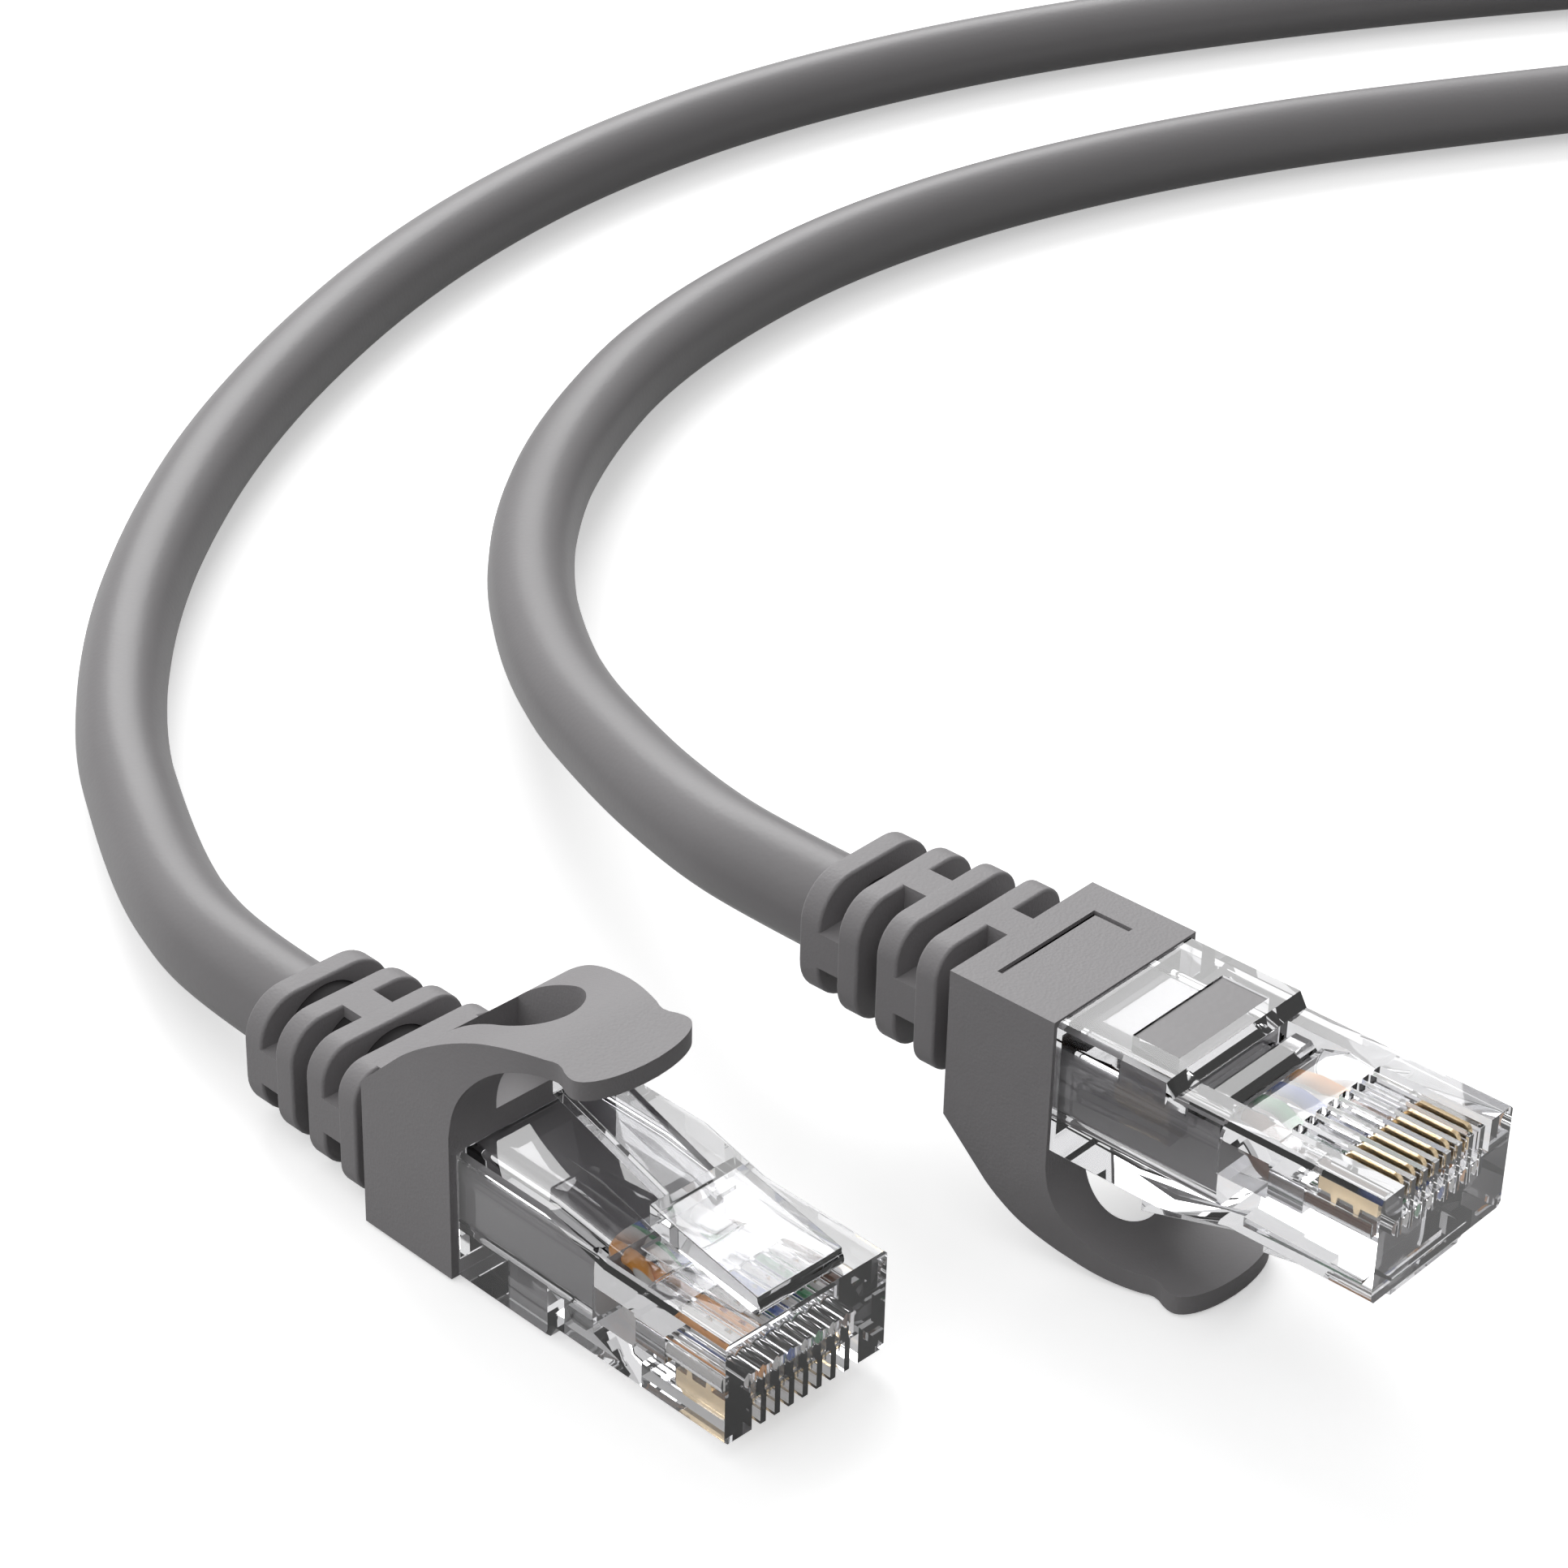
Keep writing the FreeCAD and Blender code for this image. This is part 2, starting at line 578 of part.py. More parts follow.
def boot():
    """Moulded boot: body, strain relief, bore, pocket for the housing's tail and the hook's cradle."""
    body = rounded_prism(BOOT_REAR_X, -HOUSING_L, BOOT_W, BOOT_H, BOOT_CORNER, BOOT_H / 2)
    whole = body.fuse(strain_relief())
    grow = NECK_FIT
    pocket = slab(NECK_X - grow, BEYOND, PLUG_W - 2 * NECK_INSET + 2 * grow,
                  BLOCK_E0 + NECK_INSET - grow, BLOCK_E1 - NECK_INSET + grow)
    bore = Part.makeCylinder(CORD_R + BORE_FIT, BEYOND, V(CORD_EXIT_X - RIB_T, 0, CORD_E), V(1, 0, 0))
    room = jacket_form(JACKET_FIT, -JACKET_ROUND_FRONT - RIB_T, NECK_X)
    stop = slab(-JACKET_ROUND_FRONT, BEYOND, BOOT_W, -BEYOND, BEYOND)
    cradle = side_cylinder(HOOK_AXIS_X, HOOK_AXIS_E, KNUCKLE_R + CRADLE_FIT, BOOT_W + 2 * BORE_FIT)
    return whole.cut([pocket, bore.cut(stop), room, cradle, contact_side_groove()]).removeSplitter()


def hook_profile():
    """Side view of the hook, drawn out across the boot."""
    swing = math.radians(HOOK_SWING)
    slope = math.radians(HOOK_SLOPE)
    floor_e = BOOT_H + HOOK_GAP
    pad_x = -HOUSING_L + HOOK_PAD_START
    tip_x = pad_x + HOOK_PAD_L
    under_e = HOOK_TOP_E - HOOK_T
    y = -BOOT_W / 2

    def on_back(angle):
        return V(pad_x - HOOK_BACK_R * math.sin(angle), y, HOOK_TOP_E - HOOK_BACK_R * (1 - math.cos(angle)))

    def on_arch(angle):
        return V(pad_x - HOOK_ARCH_R * math.sin(angle), y, under_e - HOOK_ARCH_R * (1 - math.cos(angle)))

    curve_end = on_back(slope)
    heel = V(curve_end.x - (curve_end.z - floor_e) / math.tan(slope), y, floor_e)
    front_x = pad_x - HOOK_ARCH_R
    toe_e = floor_e + (front_x - HOOK_AXIS_X) * math.tan(swing)
    arch_end = math.acos(1 - (under_e - toe_e) / HOOK_ARCH_R)
    toe = on_arch(arch_end)
    toe_floor = V(toe.x, y, floor_e + (toe.x - HOOK_AXIS_X) * math.tan(swing))
    pivot_floor = V(HOOK_AXIS_X, y, floor_e)
    pad_top = V(pad_x, y, HOOK_TOP_E)
    tip_top = V(tip_x, y, HOOK_TOP_E)
    tip_under = V(tip_x, y, under_e)
    pad_under = V(pad_x, y, under_e)
    edges = [
        Part.LineSegment(heel, curve_end).toShape(),
        Part.Arc(curve_end, on_back(slope / 2), pad_top).toShape(),
        Part.LineSegment(pad_top, tip_top).toShape(),
        Part.LineSegment(tip_top, tip_under).toShape(),
        Part.LineSegment(tip_under, pad_under).toShape(),
        Part.Arc(pad_under, on_arch(arch_end / 2), toe).toShape(),
        Part.LineSegment(toe, toe_floor).toShape(),
        Part.LineSegment(toe_floor, pivot_floor).toShape(),
        Part.LineSegment(pivot_floor, heel).toShape(),
    ]
    return Part.Face(Part.Wire(edges)).extrude(V(0, BOOT_W, 0))


def hook_plan():
    """Plan of the hook: full width at the boot, a waist, then a wider pad with a round end."""
    waist_x = -HOUSING_L + HOOK_WAIST_X
    tip_x = -HOUSING_L + HOOK_PAD_START + HOOK_PAD_L
    half = BOOT_W / 2
    waist = HOOK_WAIST_W / 2
    pad = HOOK_PAD_W / 2
    bulge_x = (waist_x + tip_x) / 2
    shoulder_x = (waist_x - HOUSING_L) / 2
    shoulder = waist + (half - waist) * HOOK_SHOULDER
    corner_x = tip_x - HOOK_TIP_PROUD

    def edges(side):
        near = V(BOOT_REAR_X, side * half, 0)
        shoulder_start = V(-HOUSING_L, side * half, 0)
        waist_spot = V(waist_x, side * waist, 0)
        flare = V((waist_x + bulge_x) / 2, side * (waist + pad) / 2, 0)
        bulge = V(bulge_x, side * pad, 0)
        corner = V(corner_x, side * waist, 0)
        round_x = (bulge_x + corner_x + HOOK_TIP_PROUD) / 2
        round_mid = V(round_x, side * (waist + (pad - waist) * HOOK_TIP_ROUND), 0)
        return [
            Part.LineSegment(near, shoulder_start).toShape(),
            Part.Arc(shoulder_start, V(shoulder_x, side * shoulder, 0), waist_spot).toShape(),
            Part.LineSegment(waist_spot, flare).toShape(),
            Part.LineSegment(flare, bulge).toShape(),
            Part.Arc(bulge, round_mid, corner).toShape(),
        ]

    right = edges(-1)
    left = edges(1)
    tip = Part.Arc(V(corner_x, -waist, 0), V(tip_x, 0, 0), V(corner_x, waist, 0)).toShape()
    rear = Part.LineSegment(V(BOOT_REAR_X, half, 0), V(BOOT_REAR_X, -half, 0)).toShape()
    wire = Part.Wire(Part.__sortEdges__(right + [tip] + left + [rear]))
    return Part.Face(wire).extrude(V(0, 0, BEYOND))


def hook():
    """Snag guard: an arched arm over the latch, slotted, on a knuckle in the boot's cradle."""
    arm = hook_profile().common(hook_plan())
    knuckle = side_cylinder(HOOK_AXIS_X, HOOK_AXIS_E, KNUCKLE_R, BOOT_W)
    half = HOOK_SLOT_W / 2
    rear = -HOUSING_L - HOOK_SLOT_REAR
    round_x = -HOUSING_L + HOOK_SLOT_FRONT - half
    slot = slab(rear, round_x, HOOK_SLOT_W, 0, BEYOND)
    round_end = Part.makeCylinder(half, BEYOND, V(round_x, 0, 0))
    return arm.fuse(knuckle).cut([slot, round_end]).removeSplitter()


def lay_plug_a(shape):
    """Plug A's place: contact side down, centred on the part's origin."""
    placed = shape.copy()
    placed.translate(V(NOSE_X, 0, 0))
    return placed


def lay_plug_b(shape):
    """Plug B's place: contact side up, standing on its hook's pad."""
    placed = shape.copy()
    placed.rotate(V(0, 0, 0), V(1, 0, 0), 180)
    placed.translate(V(0, 0, HOOK_TOP_E))
    placed.rotate(V(0, 0, 0), V(0, 0, 1), PLUG_B_YAW)
    placed.translate(V(PLUG_B_NOSE_X, PLUG_B_NOSE_Y, 0))
    return placed


def bent_path(points):
    """Straight runs joined by tangent arcs as large as the runs allow."""
    edges = []
    radii = []
    last = points[0]
    for before, corner, after in zip(points, points[1:], points[2:]):
        back = before - corner
        ahead = after - corner
        reach = BEND_SHARE * min(back.Length, ahead.Length)
        half_turn = (math.pi - back.getAngle(ahead)) / 2
        radius = reach / math.tan(half_turn)
        radii.append(radius)
        start = corner + back.normalize() * reach
        end = corner + ahead.normalize() * reach
        inward = (back + ahead).normalize()
        middle = corner + inward * (radius / math.cos(half_turn) - radius)
        edges.append(Part.LineSegment(last, start).toShape())
        edges.append(Part.Arc(start, middle, end).toShape())
        last = end
    edges.append(Part.LineSegment(last, points[-1]).toShape())
    return Part.Wire(edges), radii


def tube(path, start, along):
    """The cord along a path."""
    ring = Part.Wire(Part.Circle(start, along, CORD_R).toShape())
    return path.makePipeShell([ring], True, False)


def coil_radius(turn):
    """Distance from the coil's centre: steady in, eased through the climb, steady out."""
    away = abs(turn - COIL_TURNS / 2)
    half_climb = CLIMB_TURN / 2
    if away < half_climb:
        away = (away ** 2 / half_climb + half_climb) / 2
    return COIL_INNER_R + COIL_PITCH * away


def coil_spot(turn):
    """Centre of the cord after some turns of the coil: in, up a layer, and out again."""
    radius = coil_radius(turn)
    angle = math.radians(COIL_START) - 2 * math.pi * turn
    climbed = min(max((turn - COIL_TURNS / 2) / CLIMB_TURN + 0.5, 0.0), 1.0)
    height = COIL_Z + COIL_PITCH * (1 - math.cos(math.pi * climbed)) / 2
    return V(COIL_X + radius * math.cos(angle), COIL_Y + radius * math.sin(angle), height)


def coil_heading(turn):
    """Direction of the cord there."""
    step = 0.002
    low = max(turn - step, 0.0)
    high = min(turn + step, COIL_TURNS)
    return (coil_spot(high) - coil_spot(low)).normalize()


def tangent_arc(start, heading, end):
    """The arc that leaves start along heading and ends at end, and its heading there."""
    chord = end - start
    angle = heading.getAngle(chord)
    side = (heading - chord * (heading.dot(chord) / chord.Length ** 2)).normalize()
    middle = start + chord * 0.5 + side * (chord.Length / 2 * math.tan(angle / 2))
    arrival = chord * (2 * heading.dot(chord) / chord.Length ** 2) - heading
    return Part.Arc(start, middle, end).toShape(), arrival


def two_arcs(start, heading, end, arrival):
    """Two tangent arcs from one place and direction to another."""
    gap = end - start
    total = heading + arrival
    spread = 2 * (1 - heading.dot(arrival))
    along = gap.dot(total)
    reach = (-along + math.sqrt(along ** 2 + spread * gap.dot(gap))) / spread
    meet = (start + end + (heading - arrival) * reach) * 0.5
    first, passing = tangent_arc(start, heading, meet)
    second, _ = tangent_arc(meet, passing, end)
    return [first, second]


def coil_path():
    """The coil's path, by quarter turns, with a straight end at each side."""
    steps = round(COIL_TURNS / (CLIMB_TURN / 2))
    turns = [COIL_TURNS * i / steps for i in range(steps + 1)]
    first = coil_spot(0) - coil_heading(0) * COIL_TAIL
    last = coil_spot(COIL_TURNS) + coil_heading(COIL_TURNS) * COIL_TAIL
    edges = [Part.LineSegment(first, coil_spot(0)).toShape()]
    for a, b in zip(turns, turns[1:]):
        edges += two_arcs(coil_spot(a), coil_heading(a), coil_spot(b), coil_heading(b))
    edges.append(Part.LineSegment(coil_spot(COIL_TURNS), last).toShape())
    return Part.Wire(edges)


def least_gap(path):
    """Smallest gap between turns of the coil, on points along its path."""
    spots = path.discretize(Distance=CORD_R)
    away = math.ceil(math.pi * COIL_INNER_R / CORD_R / 2)
    least = min((a - b).Length for i, a in enumerate(spots) for b in spots[i + away:])
    return least - CORD_OD


def ties():
    """Bands round the coil that hold its turns together."""
    bands = []
    centre = V(COIL_X, COIL_Y, 0)
    for angle in TIE_ANGLES:
        passed = ((COIL_START - angle) % 360.0) / 360.0
        laps = range(math.floor(COIL_TURNS - passed) + 1)
        spots = [coil_spot(passed + lap) - centre for lap in laps]
        reaches = [math.hypot(spot.x, spot.y) for spot in spots]
        corner = CORD_R + TIE_FIT
        inner = min(reaches) - corner
        outer = max(reaches) + corner
        width = outer - inner
        height = COIL_PITCH + 2 * corner
        centre_r = (inner + outer) / 2
        centre_z = TIE_T + height / 2
        hole = rounded_prism(-TIE_W, TIE_W, width, height, corner, centre_z, centre_r)
        shell = rounded_prism(-TIE_W / 2, TIE_W / 2, width + 2 * TIE_T, height + 2 * TIE_T, corner + TIE_T,
                              centre_z, centre_r)
        band = shell.cut(hole)
        band.rotate(V(0, 0, 0), V(0, 0, 1), angle - 90.0)
        band.translate(centre)
        bands.append(band)
    return Part.makeCompound(bands)


def save(shape, name):
    """Write one sub-part."""
    shape.exportStep("parts/" + name + ".step")
    print(name, "solids", len(shape.Solids), "volume", round(shape.Volume, 2), "valid", shape.isValid())


def build_plugs():
    """Both plugs, from the same pieces."""
    pieces = {
        "housing": housing(),
        "latch": latch(),
        "contacts": contacts(),
        "load_bar": load_bar(),
        "jacket_clamp": jacket_clamp(),
        "jacket_end": jacket_end(),
        "boot": boot(),
        "hook": hook(),
    }
    for index, colour in enumerate(WIRES):
        pieces["wire_" + colour] = conductor(index)
    for name, shape in pieces.items():
        save(lay_plug_a(shape), "plug_a_" + name)
        save(lay_plug_b(shape), "plug_b_" + name)


def build_stretch(name, exit_spot, exit_heading, route, arrival):
    """One free stretch of the cord, from a boot to the coil."""
    points = [exit_spot, exit_spot + exit_heading * EXIT_RUN]
    points += [V(*spot) for spot in route]
    points += arrival
    path, radii = bent_path(points)
    shape = tube(path, exit_spot, exit_heading)
    save(shape, name)
    expected = math.pi * CORD_R ** 2 * path.Length
    print(name, "length", round(path.Length, 1), "radii", [round(r, 1) for r in radii])
    print(name, "volume over section times length", round(shape.Volume / expected, 4))
    return path.Length


def build_cord():
    """The free stretches, the coil and its ties."""
    path = coil_path()
    start_heading = coil_heading(0)
    end_heading = coil_heading(COIL_TURNS)
    start = coil_spot(0) - start_heading * COIL_TAIL
    end = coil_spot(COIL_TURNS) + end_heading * COIL_TAIL
    coil = tube(path, start, start_heading)
    save(coil, "cord_coil")
    expected = math.pi * CORD_R ** 2 * path.Length
    print("coil length", round(path.Length, 1), "volume ratio", round(coil.Volume / expected, 4))
    print("coil least gap", round(least_gap(path), 3))
    exit_a = V(NOSE_X + CORD_EXIT_X, 0, CORD_E)
    arrival_a = [start - start_heading * COIL_LEAD_A, start]
    length = path.Length
    length += build_stretch("cord_stretch_a", exit_a, V(-1, 0, 0), ROUTE_A, arrival_a)
    yaw = math.radians(PLUG_B_YAW)
    heading_b = V(-math.cos(yaw), -math.sin(yaw), 0)
    exit_b = V(PLUG_B_NOSE_X, PLUG_B_NOSE_Y, HOOK_TOP_E - CORD_E) + heading_b * PLUG_L
    arrival_b = [end + end_heading * COIL_LEAD_B, end]
    length += build_stretch("cord_stretch_b", exit_b, heading_b, ROUTE_B, arrival_b)
    save(ties(), "coil_ties")
    print("free cord length", round(length, 1))


build_plugs()
build_cord()
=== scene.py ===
"""Network patch cable: a grey cord with a clear modular plug, a boot and a snag guard hook at each end."""

import logging
import math
from dataclasses import dataclass
from enum import Enum
from typing import Callable, Iterator, Sequence

import bmesh
import bpy
from mathutils import Matrix, Vector

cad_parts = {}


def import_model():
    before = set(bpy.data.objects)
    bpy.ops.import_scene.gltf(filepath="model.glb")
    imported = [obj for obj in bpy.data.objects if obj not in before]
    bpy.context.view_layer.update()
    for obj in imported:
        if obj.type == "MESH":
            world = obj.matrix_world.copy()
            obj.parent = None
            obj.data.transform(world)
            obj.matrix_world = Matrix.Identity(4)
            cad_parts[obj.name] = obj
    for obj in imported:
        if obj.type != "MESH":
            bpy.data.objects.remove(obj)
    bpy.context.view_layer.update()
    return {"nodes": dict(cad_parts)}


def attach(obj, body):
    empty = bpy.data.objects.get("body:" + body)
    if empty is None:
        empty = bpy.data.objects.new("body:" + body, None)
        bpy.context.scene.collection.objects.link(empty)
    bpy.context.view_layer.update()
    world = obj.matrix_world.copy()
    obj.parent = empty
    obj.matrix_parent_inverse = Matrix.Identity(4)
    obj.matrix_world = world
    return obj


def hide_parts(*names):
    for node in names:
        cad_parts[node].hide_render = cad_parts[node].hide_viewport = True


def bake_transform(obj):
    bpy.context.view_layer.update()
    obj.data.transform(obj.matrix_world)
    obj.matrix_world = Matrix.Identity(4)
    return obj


Piece = bpy.types.Object
Material = bpy.types.Material
Socket = bpy.types.NodeSocket
Spot = tuple[float, float, float]
Pair = tuple[float, float]
Colour = tuple[float, float, float]

LOG = logging.getLogger("patch_cable")
MM = 0.001
PHOTO_SIDE = 1932
BORE_SIDES = 64
STRAIGHT = 0.99
DOUBLES = 1e-5
SMOOTH_ANGLE = math.radians(32)


# The bench: a few edit-mode habits that every piece uses

class Element(Enum):
    """What is picked in edit mode."""
    FACE = "FACE"
    EDGE = "EDGE"


class Axis(Enum):
    """Which way a round bar points, as its turn from upright."""
    ALONG = (0.0, math.pi / 2, 0.0)
    UP = (0.0, 0.0, 0.0)


def only(obj: Piece) -> None:
    """Leaves one object selected and active.

    Args:
        obj: The object.
    """
    bpy.ops.object.select_all(action="DESELECT")
    obj.select_set(True)
    bpy.context.view_layer.objects.active = obj


def shown(name: str, data: bpy.types.ID) -> Piece:
    """Adds an object to the scene.

    Args:
        name: The object's name.
        data: Its mesh, curve, camera or lamp.

    Returns:
        The object.
    """
    obj = bpy.data.objects.new(name, data)
    bpy.context.scene.collection.objects.link(obj)
    return obj


def settled(name: str) -> Piece:
    """Names the primitive that was just added and puts its place into its mesh.

    Args:
        name: The object's name.

    Returns:
        The object.
    """
    obj = bpy.context.active_object
    obj.name = name
    bpy.ops.object.transform_apply(location=True, rotation=True, scale=True)
    return obj


def block(name: str, low: Spot, high: Spot) -> Piece:
    """Adds a block between opposite corners.

    Args:
        name: The object's name.
        low: Lowest corner.
        high: Highest corner.

    Returns:
        The block.
    """
    middle = [(a + b) / 2 for a, b in zip(low, high)]
    size = [b - a for a, b in zip(low, high)]
    bpy.ops.object.select_all(action="DESELECT")
    bpy.ops.mesh.primitive_cube_add(size=1.0, location=middle, scale=size)
    return settled(name)


def bore(name: str, axis: Axis, centre: Spot, radius: float, length: float) -> Piece:
    """Adds a round bar as a cutter.

    Args:
        name: The object's name.
        axis: The way it points.
        centre: Its middle.
        radius: Its radius.
        length: Its length.

    Returns:
        The bar.
    """
    bpy.ops.object.select_all(action="DESELECT")
    bpy.ops.mesh.primitive_cylinder_add(
        vertices=BORE_SIDES, radius=radius, depth=length, location=centre, rotation=axis.value)
    return settled(name)


def pick(obj: Piece, kind: Element, wanted: Callable[[object], bool]) -> None:
    """Selects faces or edges by their place or direction, in edit mode.

    Args:
        obj: The object in edit mode.
        kind: Faces or edges.
        wanted: Says of a face or an edge whether it is taken.
    """
    bpy.ops.mesh.select_mode(type=kind.value)
    bpy.ops.mesh.select_all(action="DESELECT")
    mesh = bmesh.from_edit_mesh(obj.data)
    elements = mesh.faces if kind is Element.FACE else mesh.edges
    for element in elements:
        if wanted(element):
            element.select_set(True)
    mesh.select_flush_mode()
    bmesh.update_edit_mesh(obj.data)


def lies_lengthwise(edge: bmesh.types.BMEdge) -> bool:
    """Whether an edge runs along the plug."""
    run = edge.verts[1].co - edge.verts[0].co
    return abs(run.x) > STRAIGHT * run.length


def joined(parts: Sequence[Piece], name: str) -> Piece:
    """Makes one object of several.

    Args:
        parts: The objects.
        name: Name of the result.

    Returns:
        The one object.
    """
    only(parts[0])
    for part in parts[1:]:
        part.select_set(True)
    bpy.ops.object.join()
    parts[0].name = name
    return parts[0]


def apply_modifier(obj: Piece, kind: str, **values: object) -> None:
    """Adds a modifier with these values and applies it.

    Args:
        obj: The object, which is left selected alone.
        kind: The modifier's type.
        **values: Its settings.
    """
    only(obj)
    modifier = obj.modifiers.new(kind.lower(), kind)
    for key, value in values.items():
        setattr(modifier, key, value)
    bpy.ops.object.modifier_apply(modifier=modifier.name)


def break_edges(obj: Piece, width: float, segments: int, angle: float) -> None:
    """Rounds all edges that are sharper than an angle.

    Args:
        obj: The object.
        width: Width of the rounding.
        segments: Faces across it.
        angle: The angle in degrees.
    """
    limit = math.radians(angle)
    apply_modifier(obj, "BEVEL", width=width, segments=segments, limit_method="ANGLE", angle_limit=limit)


def shade_smooth(obj: Piece, weight: int) -> None:
    """Shades a piece smooth between its sharp edges, and keeps its large faces flat.

    Args:
        obj: The object.
        weight: How strongly the large faces rule, where 50 is even.
    """
    only(obj)
    bpy.ops.object.shade_smooth_by_angle(angle=SMOOTH_ANGLE)
    apply_modifier(obj, "WEIGHTED_NORMAL", keep_sharp=True, weight=weight)


def cut(obj: Piece, cutters: Sequence[Piece]) -> None:
    """Cuts several overlapping shapes out of one, and deletes them.

    Args:
        obj: What is cut. Its own overlapping shells are made one.
        cutters: What is taken out.
    """
    tool = joined(cutters, obj.name + "_tool")
    apply_modifier(obj, "BOOLEAN", operation="DIFFERENCE", object=tool, solver="EXACT", use_self=True)
    bpy.data.objects.remove(tool, do_unlink=True)


def outward(obj: Piece) -> None:
    """Merges doubles and turns all faces outwards.

    Args:
        obj: The object.
    """
    only(obj)
    bpy.ops.object.mode_set(mode="EDIT")
    bpy.ops.mesh.select_all(action="SELECT")
    bpy.ops.mesh.remove_doubles(threshold=DOUBLES)
    bpy.ops.mesh.normals_make_consistent(inside=False)
    bpy.ops.object.mode_set(mode="OBJECT")


# Where the plugs lie

@dataclass(frozen=True)
class PlugPlace:
    """Where one plug lies, as in the CAD source. Lengths are in millimetres.

    Attributes:
        letter: a or b.
        nose: The middle of its nose on the surface.
        upside_down: Whether its contact side is up.
        yaw: Turn about the vertical, in degrees.
        lift: Height of its contact side.
    """
    letter: str
    nose: Spot
    upside_down: bool
    yaw: float
    lift: float

    @property
    def matrix(self) -> Matrix:
        """From the plug's own frame in millimetres to the row frame in metres."""
        flip = Matrix.Rotation(math.pi if self.upside_down else 0.0, 4, "X")
        turn = Matrix.Rotation(math.radians(self.yaw), 4, "Z")
        lift = Matrix.Translation((0.0, 0.0, self.lift))
        return Matrix.Scale(MM, 4) @ Matrix.Translation(self.nose) @ turn @ lift @ flip

    def spot(self, x: float, y: float, e: float) -> Vector:
        """A place on the plug in the row frame, in metres."""
        return self.matrix @ Vector((x, y, e))

    def node(self, piece: str) -> str:
        """Name of one of the plug's CAD nodes."""
        return f"plug_{self.letter}_{piece}"


PLUG_A = PlugPlace("a", (20.05, 0.0, 0.0), False, 0.0, 0.0)
PLUG_B = PlugPlace("b", (40.85, 25.0, 0.0), True, 3.03, 16.2)


# Finishes

class Group(Enum):
    """Shared effects, each a shader node group."""
    GRAIN = "fine_grain"
    HANDLING = "handling_marks"


def rgba(colour: Colour, factor: float = 1.0) -> tuple[float, float, float, float]:
    """A colour with full alpha, darkened or lightened by a factor."""
    return (colour[0] * factor, colour[1] * factor, colour[2] * factor, 1.0)


def grey(tone: float) -> tuple[float, float, float, float]:
    """A grey with full alpha."""
    return rgba((tone, tone, tone))


class Wiring:
    """Adds and links nodes in one tree."""
    COLUMN = 180
    COLOUR_A = 6
    COLOUR_B = 7
    COLOUR_RESULT = 2

    def __init__(self, tree: bpy.types.NodeTree) -> None:
        """Starts on a tree.

        Args:
            tree: The tree of a material, a group or the world.
        """
        self.tree = tree
        self.column = 0

    def add(self, kind: str, **values: object) -> bpy.types.Node:
        """Adds a node.

        Args:
            kind: The node's type.
            **values: Its properties.

        Returns:
            The node.
        """
        node = self.tree.nodes.new(kind)
        node.location = (self.column * self.COLUMN, 0)
        self.column += 1
        for key, value in values.items():
            setattr(node, key, value)
        return node

    def put(self, value: object, target: Socket) -> None:
        """Joins a socket to an input, or sets a plain value on it.

        Args:
            value: A socket or a plain value.
            target: The input.
        """
        if isinstance(value, Socket):
            self.tree.links.new(value, target)
        else:
            target.default_value = value

    def math(self, operation: str, first: object, second: object) -> Socket:
        """Adds a sum of two values.

        Args:
            operation: The Math node's operation.
            first: A socket or a number.
            second: A socket or a number.

        Returns:
            The result's socket.
        """
        node = self.add("ShaderNodeMath", operation=operation)
        for target, value in zip(node.inputs, (first, second)):
            self.put(value, target)
        return node.outputs[0]

    def held(self, value: Socket) -> Socket:
        """Holds a value between nought and one."""
        return self.math("MAXIMUM", self.math("MINIMUM", value, 1.0), 0.0)

    def mix(self, share: Socket, first: object, second: object) -> Socket:
        """Mixes two colours.

        Args:
            share: How much there is of the second.
            first: A socket or a colour.
            second: A socket or a colour.

        Returns:
            The colour's socket.
        """
        node = self.add("ShaderNodeMix", data_type="RGBA")
        self.put(share, node.inputs["Factor"])
        self.put(first, node.inputs[self.COLOUR_A])
        self.put(second, node.inputs[self.COLOUR_B])
        return node.outputs[self.COLOUR_RESULT]

    def ramp(self, value: Socket, given: Pair, result: tuple[object, object] = (0.0, 1.0),
             eased: bool = False) -> Socket:
        """Maps one range of a value to another.

        Args:
            value: The value's socket.
            given: Start and end of its range.
            result: What they become, sockets or numbers.
            eased: Whether the change starts and ends gently.

        Returns:
            The result's socket.
        """
        node = self.add("ShaderNodeMapRange", interpolation_type="SMOOTHSTEP" if eased else "LINEAR")
        names = ("Value", "From Min", "From Max", "To Min", "To Max")
        for name, setting in zip(names, (value, *given, *result)):
            self.put(setting, node.inputs[name])
        return node.outputs["Result"]

    def axes(self, vector: Socket) -> bpy.types.Node:
        """Takes a vector apart.

        Args:
            vector: The vector's socket.

        Returns:
            The node that gives X, Y and Z.
        """
        node = self.add("ShaderNodeSeparateXYZ")
        self.put(vector, node.inputs["Vector"])
        return node

    def rays(self) -> tuple[Socket, Socket]:
        """Tells apart what is looked at.

        Returns:
            Whether the camera looks straight at it, and whether by way of gloss or clear plastic.
        """
        path = self.add("ShaderNodeLightPath")
        clear = self.math("MAXIMUM", path.outputs["Is Glossy Ray"], path.outputs["Is Transmission Ray"])
        return path.outputs["Is Camera Ray"], clear


